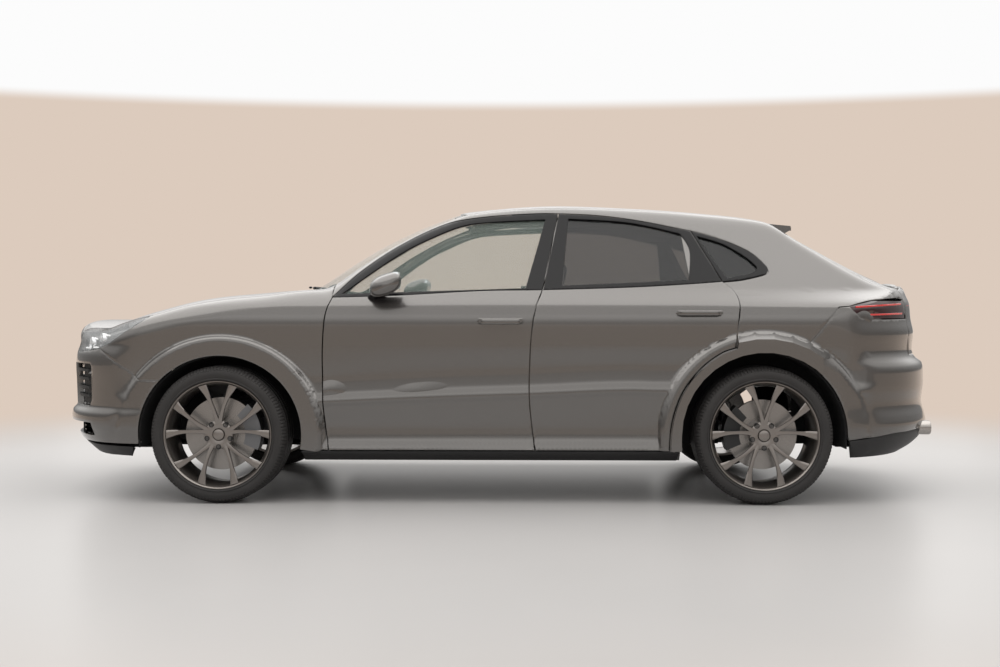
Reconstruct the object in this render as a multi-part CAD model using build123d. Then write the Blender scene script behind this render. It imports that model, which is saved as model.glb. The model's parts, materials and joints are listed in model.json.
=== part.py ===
"""A five-door coupe sport utility vehicle, in millimetres.

The nose points to -X, the left side is at -Y and +Z is up.  The origin is on the ground, under the
middle of the car.  The outer skin is one smooth field; panels are slabs of it, cut by their outlines.
"""
from build123d import *
import math
import os

import numpy as np

# ---- driving dimensions --------------------------------------------------------------------------
FRONT_OVERHANG = 990
WHEELBASE = 2895
REAR_OVERHANG = 1046
WIDTH = 1983                    # over the wheel arch flares
HEIGHT = 1632
BELT_Z = 1130                   # where the side glass meets the doors
SILL_TOP_Z = 285                # lower edge of the doors
SILL_BOTTOM_Z = 228
BUMPER_TOP_Z = 780

TYRE_RADIUS = 366
FRONT_TYRE_WIDTH = 285
REAR_TYRE_WIDTH = 315
RIM_RADIUS = 287                # over the rim flange, for 22 inch tyres
WHEEL_FACE_Y = 975              # outer face of the rim
WHEEL_BOLT_CIRCLE = 130
WHEEL_BOLT_HOLE = 15
WHEEL_BOLTS = 5

SEAM = 7                        # gap round doors and lids
JOINT_GAP = 0.5                 # between fixed panels that butt together
EDGE_GAP = 1                    # between the body sides and the upper panels' line
SKIN = 38                       # wall of the fixed outer panels
DOOR_FLANGE = 38                # outer part of a door, out to its shut line
DOOR_DEPTH = 108                # whole door, with its trim
DOOR_STEP = 32                  # the door's inner box stands this far inside the shut line
DOOR_NOTCH_Z = 1015             # the inner box is lower than the belt at its front corner
DOOR_BOX_TOP = BELT_Z - 40
FRAME_DEPTH = 175               # whole side wall below the belt
RAIL_DEPTH = 55                 # window pillars, roof rail and quarter panel
GLASS = 5
GLASS_INSET = 9                 # side glass behind the skin
DOOR_AXIS_BACK = 80             # door hinge axis behind the door's front edge
DOOR_AXIS_DEPTH = 14            # door hinge axis behind the skin

NOSE_X = -(FRONT_OVERHANG + WHEELBASE + REAR_OVERHANG) / 2
TAIL_X = -NOSE_X
FRONT_AXLE_X = NOSE_X + FRONT_OVERHANG
REAR_AXLE_X = FRONT_AXLE_X + WHEELBASE
HALF_WIDTH = WIDTH / 2


def fore(distance):
    """The x of a place this far behind the front axle."""
    return FRONT_AXLE_X + distance


def aft(distance):
    """The x of a place this far behind the rear axle."""
    return REAR_AXLE_X + distance


# ---- the outer skin ------------------------------------------------------------------------------
def smooth_line(*points):
    """A smooth function through (place, value) points that never overshoots them."""
    place, value = np.array(points, float).T
    step = np.diff(place)
    slope = np.diff(value) / step
    product = slope[:-1] * slope[1:]
    total = np.where(product > 0, slope[:-1] + slope[1:], 1)
    tangent = np.concatenate([slope[:1], np.where(product > 0, 2 * product / total, 0), slope[-1:]])

    def at(x):
        i = np.clip(np.searchsorted(place, x) - 1, 0, len(step) - 1)
        t = np.clip((x - place[i]) / step[i], 0, 1)
        rise = t * t * (3 - 2 * t)
        start, end = t * (1 - t) ** 2 * tangent[i], t * t * (t - 1) * tangent[i + 1]
        return value[i] + (value[i + 1] - value[i]) * rise + step[i] * (start + end)

    return at


def ramp(x, start, end):
    """0 before start, 1 after end, and a smooth rise between."""
    t = np.clip((x - start) / (end - start), 0, 1)
    return t * t * (3 - 2 * t)


def smooth_max(a, b, radius):
    """The larger of two fields, with their crossing rounded."""
    overlap = np.maximum(radius - np.abs(a - b), 0)
    return np.maximum(a, b) + overlap ** 2 / (4 * radius)


# Inset of the side from the flares, by height: sill, crease, waist and shoulder.
SIDE_INSET = smooth_line((225, 118), (290, 54), (332, 68), (400, 77), (560, 66), (592, 60), (640, 73),
                         (710, 76), (850, 64), (960, 61), (1040, 76), (1100, 104), (BELT_Z + 30, 140))
# Inset of the cabin's side at the belt, along the car, and how far it leans in.
CAB_INSET = smooth_line((fore(575), 146), (fore(1475), 131), (aft(-400), 138), (aft(0), 165),
                        (aft(400), 222), (aft(800), 330))
CAB_LEAN = 0.535
# The line over the hood, and the line over windscreen, roof and rear window, down the middle.
HOOD_LINE = smooth_line((NOSE_X, 735), (NOSE_X + 65, 785), (NOSE_X + 196, 836), (NOSE_X + 292, 878),
                        (NOSE_X + 447, 944), (fore(-395), 1000), (fore(-169), 1060), (fore(99), 1108),
                        (fore(375), 1134), (fore(600), 1137))
CAB_LINE = smooth_line((fore(150), 965), (fore(285), 1062), (fore(467), 1189), (fore(668), 1322),
                       (fore(862), 1430), (fore(1104), 1537), (fore(1305), HEIGHT - 35), (fore(1811), HEIGHT),
                       (aft(-630), HEIGHT - 17), (aft(-297), HEIGHT - 42), (aft(52), HEIGHT - 84),
                       (aft(232), 1460), (aft(487), 1337), (aft(706), 1233), (aft(855), 1174),
                       (aft(880), 1179), (aft(905), 1150), (aft(970), 1120))
WINDSCREEN_BOW = 90             # how far its ends sweep back, at 750 from the middle
FENDER_PEAK = 25                # ridges over the front wheels, above the hood's middle
# How far the bumpers and the tailgate lie inside the ends of the car, by height.
NOSE_SET_BACK = smooth_line((225, 190), (245, 150), (288, 98), (319, 62), (370, 32), (400, 6), (440, 0),
                            (470, 4), (505, 32), (600, 30), (720, 24), (780, 30), (840, 52))
TAIL_SET_BACK = smooth_line((225, 190), (249, 147), (292, 76), (332, 34), (373, 9), (418, 0), (446, 6),
                            (525, 25), (625, 14), (696, 15), (732, 24), (768, 66), (811, 79), (896, 72),
                            (982, 88), (1061, 96), (1110, 116), (1150, 132))
END_HALF_WIDTH = 955
END_DEPTH = 720                 # length of the rounded ends, in plan
# Half width of the middle panels: hood, windscreen, roof, tailgate.
MIDDLE_HALF = smooth_line((NOSE_X + 100, 590), (fore(-700), 625), (fore(-350), 690), (fore(150), 742),
                          (fore(465), 765), (fore(615), 748), (fore(975), 655), (fore(1275), 600),
                          (fore(1975), 590), (aft(-220), 575), (aft(80), 560), (aft(480), 578),
                          (aft(780), 606), (aft(900), 618))
EDGE_ROUND = smooth_line((NOSE_X + 100, 60), (fore(-300), 95), (fore(300), 80), (fore(900), 55),
                         (aft(-400), 55), (aft(300), 45), (aft(750), 30), (aft(860), 14))
CORNER_ROUND = 18


def side_half_width(x, z):
    lower = HALF_WIDTH - SIDE_INSET(z)
    cab = HALF_WIDTH - CAB_INSET(x) - CAB_LEAN * (z - BELT_Z)
    return lower + (cab - lower) * ramp(z, BELT_Z - 90, BELT_Z + 20)


def top_height(x, y):
    bow = WINDSCREEN_BOW * (y / 750) ** 2 * (1 - ramp(x, fore(1175), fore(1575)))
    crown = 38 + 40 * ramp(x, aft(0), aft(600))
    cab = CAB_LINE(x - bow) - crown * (y / 600) ** 2
    ridge = np.exp(-((np.abs(y) - 700) / 170) ** 2) * ramp(x, NOSE_X + 160, NOSE_X + 400)
    hood = HOOD_LINE(x) + FENDER_PEAK * ridge * (1 - ramp(x, fore(-200), fore(300)))
    return smooth_max(hood, cab, 45)


def end_field(x, y, depth_from, outward):
    """A rounded end of the body in plan; depth_from is the x of its tip, outward its direction."""
    power = 2.6 if outward < 0 else 2.3
    across = (np.abs(y) / END_HALF_WIDTH) ** power
    along = np.maximum(((x - depth_from) * outward + END_DEPTH) / END_DEPTH, 0) ** power
    return END_DEPTH * ((across + along) ** (1 / power) - 1)


def skin_field(x, y, z):
    """Negative inside the car's outer skin and positive outside it, in rough millimetres."""
    sides = np.abs(y) - side_half_width(x, z)
    nose = end_field(x, y, NOSE_X + NOSE_SET_BACK(z), -1)
    tail = end_field(x, y, TAIL_X - TAIL_SET_BACK(z), 1)
    walls = smooth_max(smooth_max(sides, nose, CORNER_ROUND), tail, CORNER_ROUND)
    return smooth_max(walls, z - top_height(x, y), EDGE_ROUND(x))


def crossing(field, inside, outside):
    """Where a field changes sign between an inside and an outside place, by halving."""
    low, high = np.array(inside, float), np.array(outside, float)
    for _ in range(34):
        middle = (low + high) / 2
        within = field(middle) < 0
        low, high = np.where(within, middle, low), np.where(within, high, middle)
    return (low + high) / 2


def skin_y(x, z):
    """Half width of the skin at x and z."""
    x, z = np.broadcast_arrays(np.array(x, float), np.array(z, float))
    low = np.full(x.shape, 300.0)
    return crossing(lambda y: skin_field(x, y, z), low, low + HALF_WIDTH)


def skin_z(x, y):
    """Height of the skin at x and y."""
    x, y = np.broadcast_arrays(np.array(x, float), np.array(y, float))
    low = np.full(x.shape, 640.0)
    return crossing(lambda z: skin_field(x, y, z), low, low + HEIGHT)


# ---- panel making --------------------------------------------------------------------------------
def outline(*runs):
    """A closed flat face.  Each run is its first points; it ends where the next run starts."""
    corners = []
    for run, following in zip(runs, runs[1:] + runs[:1]):
        path = [*run, following[0]]
        if len(path) > 2:
            curve = Spline(*path)
            path = [curve @ t for t in np.linspace(0, 1, len(path) + 3)]
        corners += path[:-1]
    face = make_face(Polyline(*corners, close=True)).face()
    return face if face.normal_at().Z > 0 else -face


def across(face, start=0, reach=1300):
    """A face drawn in x and z, run through the left side of the car."""
    return extrude(Plane.XZ.offset(start) * face, amount=reach - start)


def upright(face, low=0, high=2000):
    """A face drawn in x and y, run straight up."""
    return extrude(Plane.XY.offset(low) * face, amount=high - low)


def block(x_from, x_to, y_from, y_to, z_from, z_to):
    centre = ((x_from + x_to) / 2, (y_from + y_to) / 2, (z_from + z_to) / 2)
    return Pos(*centre) * Box(abs(x_to - x_from), abs(y_to - y_from), abs(z_to - z_from))


def rod(start, end, radius):
    line = Vector(*end) - Vector(*start)
    return Plane(origin=start, z_dir=line) * Cylinder(radius, line.length, align=(Align.CENTER,) * 2 + (Align.MIN,))


def both_sides(part):
    return part + mirror(part, about=Plane.XZ)


def side_section(x, z_from, z_to, edge_y, rows):
    """Evenly spaced (y, z) points up the skin at x, from z_from to z_to or to the edge at edge_y."""
    top = (edge_y, float(skin_z(x, edge_y)))
    if top[1] > z_to:
        top = (float(skin_y(x, z_to)), z_to)
    foot = (float(skin_y(x, z_from)), z_from)
    heart = (edge_y - 260, (top[1] + z_from) / 2)
    low, high = (math.atan2(z - heart[1], y - heart[0]) for y, z in (foot, top))
    angles = np.linspace(low, high, 160)
    start = np.zeros_like(angles)

    def along(reach):
        return skin_field(x, heart[0] + reach * np.cos(angles), heart[1] + reach * np.sin(angles))

    reach = crossing(along, start, start + 1500)
    ys, zs = heart[0] + reach * np.cos(angles), heart[1] + reach * np.sin(angles)
    length = np.concatenate([[0], np.cumsum(np.hypot(np.diff(ys), np.diff(zs)))])
    even = np.linspace(0, length[-1], rows)
    return np.interp(even, length, ys), np.interp(even, length, zs)


def skin_section(outer, inner):
    """A flat closed section between a curve on the skin and a curve inside it."""
    edges = [Spline(*outer), Line(outer[-1], inner[-1]), Spline(*inner[::-1]), Line(inner[0], outer[0])]
    return make_face(edges)


def side_slab(x_from, x_to, z_from, z_to=HEIGHT, inset=0, depth=SKIN, columns=12, rows=13, edge=None, turn=0):
    """A slab of the left side's skin, up to z_to or the middle panels' edge, and depth thick.

    It is thickened inward; with turn, by the top edge the direction has turned that many degrees downward.
    """
    down = np.radians(turn) * np.linspace(0, 1, rows) ** 2
    sections = []
    for x in np.linspace(x_from, x_to, columns):
        ys, zs = side_section(x, z_from, z_to, edge or float(MIDDLE_HALF(x)), rows)
        outer = [(x, inset - y, z) for y, z in zip(ys, zs)]
        inner = [(x, y + depth * math.cos(a), z - depth * math.sin(a)) for (x, y, z), a in zip(outer, down)]
        sections.append(skin_section(outer, inner))
    return loft(sections)


def plan_edge(x, margin):
    """Half width of the middle panels less a margin, kept inside the rounded ends."""
    return min(MIDDLE_HALF(x) - margin, skin_y(x, BUMPER_TOP_Z) - 12, skin_y(x, min(top_height(x, 0), BELT_Z + 10)) - 6)


def top_slab(x_from, x_to, margin=0, lift=0, depth=SKIN, deeper=lambda x: 0, height=skin_z, half=None, columns=15):
    """A slab of the top between two stations, inside the middle panels' edge less a margin.

    Its upper face is lifted from the skin; it reaches down by depth, and deeper where a function says so.
    """
    sections = []
    for x in np.linspace(x_from, x_to, columns):
        edge = half or plan_edge(x, margin)
        places = np.linspace(-edge, edge, 13)
        upper = [(x, y, z + lift) for y, z in zip(places, height(x, places))]
        sections.append(skin_section(upper, [(x, y, z - depth - deeper(x)) for x, y, z in upper]))
    return loft(sections)


def end_band(centre_x, outward, bearings, levels, inset, wall):
    """A band of the nose or tail between two bearings from its axle's middle, through the given levels."""
    steps = max(7, int((bearings[1] - bearings[0]) / 8))
    angles = np.radians(np.linspace(*bearings, steps))
    start = np.zeros_like(angles)
    sections = []
    for z in levels:
        def radial(reach):
            return skin_field(centre_x + outward * reach * np.cos(angles), reach * np.sin(angles), z)
        reach = crossing(radial, start, start + 1500) - inset
        rings = []
        for distance in (reach, reach - wall):
            xs, ys = centre_x + outward * distance * np.cos(angles), distance * np.sin(angles)
            rings.append([(x, y, z) for x, y in zip(xs, ys)])
        sections.append(skin_section(*rings))
    return loft(sections)


def bowed_outline(front, rear, half_front, half_rear, bow_front, bow_rear):
    """A plan outline with straight sides and bowed front and rear edges."""
    return outline([(front + bow_front, -half_front), (front, 0)], [(front + bow_front, half_front)],
                   [(rear + bow_rear, half_rear), (rear, 0)], [(rear + bow_rear, -half_rear)])


# ---- outlines of the side openings (x, z) --------------------------------------------------------
DOOR_FRONT_X = fore(556)
B_LINE = [(fore(1686), SILL_TOP_Z), (fore(1671), 396), (fore(1656), 548), (fore(1656), 700), (fore(1666), 903),
          (fore(1691), 1046), (fore(1728), 1143), (fore(1765), 1316), (fore(1815), 1556)]


def shifted(points, distance):
    return [(x + distance, z) for x, z in points]


B_LINE_AHEAD, B_LINE_BEHIND = shifted(B_LINE, -SEAM / 2), shifted(B_LINE, SEAM / 2)
FRONT_DOOR = outline(
    [(fore(590), SILL_TOP_Z), (fore(562), 500), (DOOR_FRONT_X, 700), (DOOR_FRONT_X + 2, 852), (fore(572), 1005)],
    [(fore(611), BELT_Z - 30)],
    [(fore(711), 1208), (fore(840), 1306), (fore(970), 1390), (fore(1103), 1460), (fore(1240), 1511),
     (fore(1430), 1540)],
    B_LINE_AHEAD[:0:-1],
    [B_LINE_AHEAD[0]])
REAR_DOOR = outline(
    B_LINE_BEHIND[:-1],
    [B_LINE_BEHIND[-1], (aft(-868), 1547), (aft(-657), 1521)],
    [(aft(-361), 1461)],
    [(aft(-205), 1184), (aft(-149), 1126), (aft(-129), 1070), (aft(-134), 990)],
    [(aft(-154), 833)],
    [(aft(-229), 806), (aft(-329), 732), (aft(-420), 621), (aft(-470), 509), (aft(-495), 398)],
    [(aft(-501), SILL_TOP_Z)])
DOORWAY = FRONT_DOOR + REAR_DOOR + outline(B_LINE_AHEAD[:-1], [B_LINE_AHEAD[-1]], B_LINE_BEHIND[:0:-1],
                                           [B_LINE_BEHIND[0]])
FRONT_DOOR_GLASS = outline(
    [(fore(650), BELT_Z - 22)],
    [(fore(777), 1214), (fore(959), 1332), (fore(1105), 1414), (fore(1268), 1482), (fore(1417), 1508)],
    [(fore(1746), 1526)],
    [(fore(1632), BELT_Z + 12)])
REAR_DOOR_GLASS = outline(
    [(fore(1832), BELT_Z + 20)],
    [(fore(1866), 1530), (aft(-700), 1508)],
    [(aft(-413), 1447)],
    [(aft(-376), BELT_Z + 48)])
QUARTER_GLASS = outline(
    [(aft(-202), 1188)],
    [(aft(-342), 1433), (aft(-192), 1391), (aft(-66), 1317)],
    [(aft(-8), 1260)], [(aft(-8), 1240)], [(aft(-54), 1216)])


def wheel_arch(axle_x, half_length, rise, growth=0):
    """A wheel opening in x and z: half an ellipse over the axle, with straight legs down."""
    a, b = half_length + growth, rise + growth
    turns = np.radians(np.linspace(180, 0, 15))
    arc = [(axle_x + a * math.cos(t), TYRE_RADIUS + b * math.sin(t)) for t in turns]
    return outline([(axle_x - a, 0)], arc[:-1], [arc[-1]], [(axle_x + a, 0)])


FRONT_ARCH = (fore(6), 438, 422)
REAR_ARCH = (aft(0), 438, 441)
FLARE_WIDTH = 72                # radial width of the flat lip round each arch
FLARE_SLOPE = 74                # and of the slope from the lip down to the flare's root
FLARE_ROOT = 106                # depth of the root, well inside the skin


def flare(axle_x, half_length, rise):
    """The raised lip round a left wheel opening, sloping back to the body above."""
    lip = Plane.XZ.offset(HALF_WIDTH) * wheel_arch(axle_x, half_length, rise, FLARE_WIDTH)
    foot = Plane.XZ.offset(HALF_WIDTH - FLARE_ROOT) * wheel_arch(axle_x, half_length, rise, FLARE_WIDTH + FLARE_SLOPE)
    reach = block(axle_x - 700, axle_x + 700, -HALF_WIDTH - 50, 0, SILL_TOP_Z - 5, 1500)
    return loft([foot, lip], ruled=True) & reach


# ---- middle panels -------------------------------------------------------------------------------
HOOD_FRONT_X = NOSE_X + 78
HOOD_REAR_X = fore(470)         # rearmost point of the hood, at its sides
WINDSCREEN_BASE_X = fore(372)
HEADER_X = fore(1235)           # top edge of the windscreen, in the middle
TAILGATE_X = aft(24)            # tailgate's front edge in the roof
LIP_X = aft(893)
HOOD_DEPTH = 28
ROOF_DEPTH = 24
GLASS_FALL = 10                 # vertical depth of sloping glass


def hood():
    slab = top_slab(HOOD_FRONT_X - 8, HOOD_REAR_X, SEAM, depth=HOOD_DEPTH, columns=24)
    return slab & upright(bowed_outline(HOOD_FRONT_X, WINDSCREEN_BASE_X - 42, 900, 900, 130, 178))


def windscreen():
    slab = top_slab(WINDSCREEN_BASE_X - 20, HEADER_X + 190, 9, lift=-3, depth=GLASS_FALL)
    return slab & upright(bowed_outline(WINDSCREEN_BASE_X, HEADER_X, 900, 900, 300, 150))


ROOF_WINDOW = (fore(1440), aft(-180), 470)


def roof_panel():
    slab = top_slab(HEADER_X - 10, TAILGATE_X - SEAM, JOINT_GAP, depth=ROOF_DEPTH)
    start, end, half = ROOF_WINDOW
    hole = upright(bowed_outline(start, end, half, half - 12, 60, 0))
    return (slab & upright(bowed_outline(HEADER_X + 12, TAILGATE_X + 50, 900, 900, 150, 0))) - hole


def roof_window():
    start, end, half = ROOF_WINDOW
    slab = top_slab(start - 10, end + 10, lift=-1, depth=6, half=half + 10, columns=12)
    return slab & upright(bowed_outline(start + 1, end - 1, half - 1, half - 13, 60, 0))


REAR_WINDOW = (aft(215), aft(838))
REAR_WINDOW_FRAME = 62          # width of the tailgate beside its window
TAILGATE_LEVELS = (BUMPER_TOP_Z + 12, 830, 900, 980, 1060, 1095)
CORNER_LEVELS = (BUMPER_TOP_Z - 3, 830, 900, 980, 1040, 1080, 1105, 1130, 1160)


def tailgate_panel():
    """Window frame and lip in one shell, and below the lip a panel that bends round the tail."""
    upper = top_slab(TAILGATE_X, aft(790), SEAM, columns=13) + top_slab(aft(790), LIP_X - 15, SEAM, depth=105, columns=6)
    start, end = REAR_WINDOW
    sides = [(x, MIDDLE_HALF(x) - REAR_WINDOW_FRAME) for x in np.linspace(start, end, 6)]
    window = upright(make_face(Polyline(*sides, *[(x, -y) for x, y in sides[::-1]], close=True)), 900)
    lower = end_band(REAR_AXLE_X, 1, (-62, 62), TAILGATE_LEVELS, 0, SKIN)
    lower &= block(REAR_AXLE_X, TAIL_X + 50, -TAILGATE_HALF, TAILGATE_HALF, 0, 2000)
    return (upper - window) + lower - light_strip(4)


def rear_window():
    start, end = REAR_WINDOW
    return top_slab(start + 1, end - 1, REAR_WINDOW_FRAME + 1, lift=-2, depth=GLASS_FALL, columns=16)


LAMP_LOW_Z, LAMP_HIGH_Z = 985, 1078
TAILGATE_HALF = 611


def light_strip(growth=0):
    """The lamp band across the tailgate."""
    levels = np.linspace(LAMP_LOW_Z - growth, LAMP_HIGH_Z + growth, 4)
    band = end_band(REAR_AXLE_X, 1, (-62, 62), levels, -2 - growth, 27 + 2 * growth)
    half = TAILGATE_HALF - 20 + growth
    return band & block(REAR_AXLE_X, TAIL_X + 50, -half, half, 0, 2000)


def rear_spoiler():
    """A blade over the rear window, on two feet beside it."""
    def blade(x, y):
        return HEIGHT - 83 - 0.13 * (x - TAILGATE_X) - 42 * (y / 600) ** 2

    wing = top_slab(TAILGATE_X + 6, aft(215), depth=20, height=blade, half=545, columns=8)
    foot = across(outline([(aft(40), 1512)], [(aft(150), 1440)], [(aft(205), 1470)], [(aft(212), 1496)]), 520, 552)
    below = top_slab(TAILGATE_X - 10, aft(400), lift=3, depth=400, half=640, columns=12)
    return wing + both_sides(foot) - below


# ---- side panels ---------------------------------------------------------------------------------
FENDER_FRONT_X = NOSE_X + 250
FENDER_REAR_X = fore(604)


def front_lamp_plan(growth=0):
    """Plan of the left headlamp: inner edge, rear tip, outer edge and front edge."""
    g = growth
    return outline([(NOSE_X + 75, -930 - g), (NOSE_X + 75, -560 + g)],
                   [(NOSE_X + 285 + g, -590 + g)],
                   [(NOSE_X + 420 + g, -760 + g)],
                   [(NOSE_X + 620 + g, -868 + g)],
                   [(NOSE_X + 600 + g, -980)], [(NOSE_X + 300, -980)])


def lamp_side(growth=0):
    """What lies above the headlamp's lower edge, in x and z."""
    g = growth
    return across(outline([(NOSE_X - 50, 793 - g)], [(NOSE_X + 215, 800 - g)],
                          [(NOSE_X + 327, 823 - g), (NOSE_X + 404, 858 - g), (NOSE_X + 475, 905 - g),
                           (NOSE_X + 560, 962 - g)],
                          [(NOSE_X + 640, 1030)], [(NOSE_X - 50, 1030)]))


def headlamp():
    slab = side_slab(NOSE_X + 145, NOSE_X + 640, 780, edge=548, depth=70, columns=9, rows=8, turn=90)
    return slab & upright(front_lamp_plan(), 793) & lamp_side()


def fender():
    """The left front wing: from the lamp back to the door, and up to the hood."""
    slab = side_slab(FENDER_FRONT_X, FENDER_REAR_X, SILL_TOP_Z, depth=SKIN, columns=15, turn=90)
    shape = across(outline(
        [(FENDER_FRONT_X - 20, 600)], [(fore(-520), 600)], [(fore(-520), SILL_TOP_Z - 20)],
        [(fore(590) - SEAM, SILL_TOP_Z - 20)],
        [(fore(562) - SEAM, 500), (DOOR_FRONT_X - SEAM, 700), (DOOR_FRONT_X + 2 - SEAM, 852),
         (fore(572) - SEAM, 1005)],
        [(FENDER_REAR_X + 5, BELT_Z - 20)], [(FENDER_REAR_X + 5, 1300)], [(FENDER_FRONT_X - 20, 1300)]))
    body = (slab + flare(*FRONT_ARCH)) & shape
    body -= across(wheel_arch(*FRONT_ARCH))
    body -= upright(front_lamp_plan(JOINT_GAP), 700) & lamp_side(JOINT_GAP)
    return body - bumper_zone(JOINT_GAP)


def bumper_zone(growth=0):
    """Side view of the front bumper: below a line that falls from the lamp to the wheel arch."""
    g = growth
    return across(outline([(NOSE_X - 100, 100)], [(fore(-300), 100)], [(fore(-300), 655 + g)],
                          [(fore(-420), 655 + g)], [(NOSE_X + 325, 821 + g)], [(NOSE_X + 215, 797 + g)],
                          [(NOSE_X - 100, 787 + g)]), -1300)


NOSE_LEVELS = (232, 255, 300, 350, 400, 445, 480, 515, 600, 700, 760, 800)
TAIL_LEVELS = (238, 262, 300, 345, 400, 450, 530, 620, 690, 730, BUMPER_TOP_Z - 6)
BUMPER_WALL = 55


def intakes(growth=0):
    """The middle grille, the two side intakes and the low intake of the front bumper."""
    g = growth
    reach = (NOSE_X - 20, NOSE_X + 420)
    middle = block(*reach, -440 - g, 440 + g, 560 - g, 700 + g)
    low = block(*reach, -560 - g, 560 + g, 345 - g, 432 + g)
    side = block(NOSE_X - 20, NOSE_X + 275 + g, -900, -520 + g, 515 - g, 740 + g)
    return middle + low + both_sides(side)


def front_bumper():
    band = end_band(FRONT_AXLE_X, -1, (-66, 66), NOSE_LEVELS, 0, BUMPER_WALL)
    lips = both_sides(flare(*FRONT_ARCH) & block(NOSE_X, fore(-330), -1200, 0, 0, 2000))
    body = (band + lips) & bumper_zone()
    arch = both_sides(across(wheel_arch(*FRONT_ARCH)))
    lamps = both_sides(upright(front_lamp_plan(JOINT_GAP), 780) & lamp_side(JOINT_GAP))
    lid = top_slab(HOOD_FRONT_X - 12, HOOD_FRONT_X + 260, lift=60, depth=60 + HOOD_DEPTH + 6, columns=12)
    lid &= upright(bowed_outline(HOOD_FRONT_X - SEAM, HOOD_REAR_X, 900, 900, 130, 0))
    return body - arch - lamps - lid - intakes()


def nose_x(y, z):
    """The x of the nose's skin at y and z."""
    start = np.full(np.shape(y), NOSE_X + 900)
    return crossing(lambda x: skin_field(x, y, z), start, start - 1000)


def nose_strip(y_from, y_to, z_from, z_to, inset, depth):
    """A strip that follows the nose in plan, behind its skin."""
    ys = np.linspace(y_from, y_to, 7)
    xs = nose_x(ys, (z_from + z_to) / 2) + inset
    front = list(zip(xs, ys))
    back = [(x + depth, y) for x, y in front[::-1]]
    return upright(make_face(Polyline(*front, *back, close=True)), z_from, z_to)


def front_grilles():
    """Mesh at the back of each intake, with slats across the side ones."""
    gap = JOINT_GAP
    middle = nose_strip(-440 + gap, 440 - gap, 560 + gap, 700 - gap, 38, 12)
    low = nose_strip(-560 + gap, 560 - gap, 345 + gap, 432 - gap, 45, 12)
    side = nose_strip(-800, -520 - gap, 515 + gap, 740 - gap, 38, 12)
    for z in np.linspace(560, 700, 4):
        side += nose_strip(-770, -520 - gap, z - 7, z + 7, 8, 34)
    side &= block(NOSE_X, NOSE_X + 275 - gap, -900, 0, 0, 2000)
    return middle + low + both_sides(side)


def rear_bumper():
    band = end_band(REAR_AXLE_X, 1, (-66, 66), TAIL_LEVELS, 0, BUMPER_WALL)
    lips = both_sides(flare(*REAR_ARCH) & block(aft(330), TAIL_X, -1200, 0, 0, 2000))
    arch = both_sides(across(wheel_arch(*REAR_ARCH)))
    return ((band + lips) & rear_bumper_zone()) - arch - both_sides(exhaust_tip(TIP_RADIUS + 2))


def rear_bumper_zone(growth=0):
    """Side view of the rear bumper: below a line that rises from the arch to the lamp."""
    g = growth
    return across(outline([(aft(300), 100)], [(TAIL_X + 100, 100)], [(TAIL_X + 100, BUMPER_TOP_Z - 4 + g)],
                          [(aft(330), BUMPER_TOP_Z - 4 + g)], [(aft(300), 740 + g)]), -1300)


def door_panel(shape, glass, x_from, x_to):
    """A left door: an outer flange out to the shut line, a thick box behind it, a window frame above."""
    flange = side_slab(x_from, x_to, SILL_TOP_Z - 5, 1575, depth=DOOR_FLANGE) & across(shape)
    room = outline([(x_from, 0)], [(x_to, 0)], [(x_to, DOOR_BOX_TOP)], [(x_from + 170, DOOR_BOX_TOP)],
                   [(x_from + 170, DOOR_NOTCH_Z)], [(x_from, DOOR_NOTCH_Z)])
    box_shape = across(offset(shape, -DOOR_STEP, kind=Kind.INTERSECTION)) & across(room)
    box = side_slab(x_from, x_to, SILL_TOP_Z - 5, BELT_Z, inset=10, depth=DOOR_DEPTH - 10, columns=7, rows=7) & box_shape
    return flange + box - across(glass)


def door_glass(glass, x_from, x_to):
    slab = side_slab(x_from, x_to, BELT_Z - 60, 1560, inset=GLASS_INSET, depth=GLASS, columns=7, rows=7)
    return slab & across(offset(glass, -JOINT_GAP, kind=Kind.INTERSECTION))


def handle(x, z):
    """A grip bar that stands off the door on two feet."""
    y = -float(skin_y(x, z))
    bar = Pos(x, y - 22, z) * Box(230, 14, 26)
    bar = fillet(bar.edges().filter_by(Axis.X), 6)
    feet = [Pos(x + side * 88, y - 6, z) * Box(34, 30, 22) for side in (-1, 1)]
    return bar + feet


JACK_PADS_X = (fore(700), aft(-580))
JACK_PAD_Z = 222


def door_frame():
    """Left sill, hinge pillar and centre pillar, and the frame that the doors close against."""
    sill = side_slab(FENDER_REAR_X - 12, aft(-440), SILL_BOTTOM_Z, SILL_TOP_Z - SEAM, depth=FRAME_DEPTH, columns=6, rows=5)
    inner = block(fore(505), aft(-470), -PILLAR_Y, -INNER_Y, SILL_BOTTOM_Z + 20, SILL_TOP_Z + 110)
    hinge_post = block(fore(505), fore(640), -PILLAR_Y, -INNER_Y, SILL_TOP_Z, 1055)
    root = block(FENDER_REAR_X + 2, fore(690), -810, -INNER_Y, 1030, 1098)
    centre_post = block(fore(1610), fore(1750), -PILLAR_Y, -INNER_Y, SILL_TOP_Z, BELT_Z + 30)
    pads = [block(x - 40, x + 40, -830, -INNER_Y, JACK_PAD_Z, SILL_BOTTOM_Z + 30) for x in JACK_PADS_X]
    seat_face = side_slab(fore(650), aft(-120), 1020, 1535, inset=DOOR_FLANGE + 14, depth=42, columns=10, rows=9)
    ring = across(offset(DOORWAY, SEAM + 5, kind=Kind.INTERSECTION))
    ring -= across(offset(DOORWAY, 5 - DOOR_STEP, kind=Kind.INTERSECTION))
    ring += across(outline([(fore(1635), DOOR_BOX_TOP + 5)], [(fore(1755), DOOR_BOX_TOP + 5)], [(fore(1850), 1560)],
                           [(fore(1770), 1560)]))
    return sill + inner + hinge_post + root + centre_post + pads + (seat_face & ring)


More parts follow.
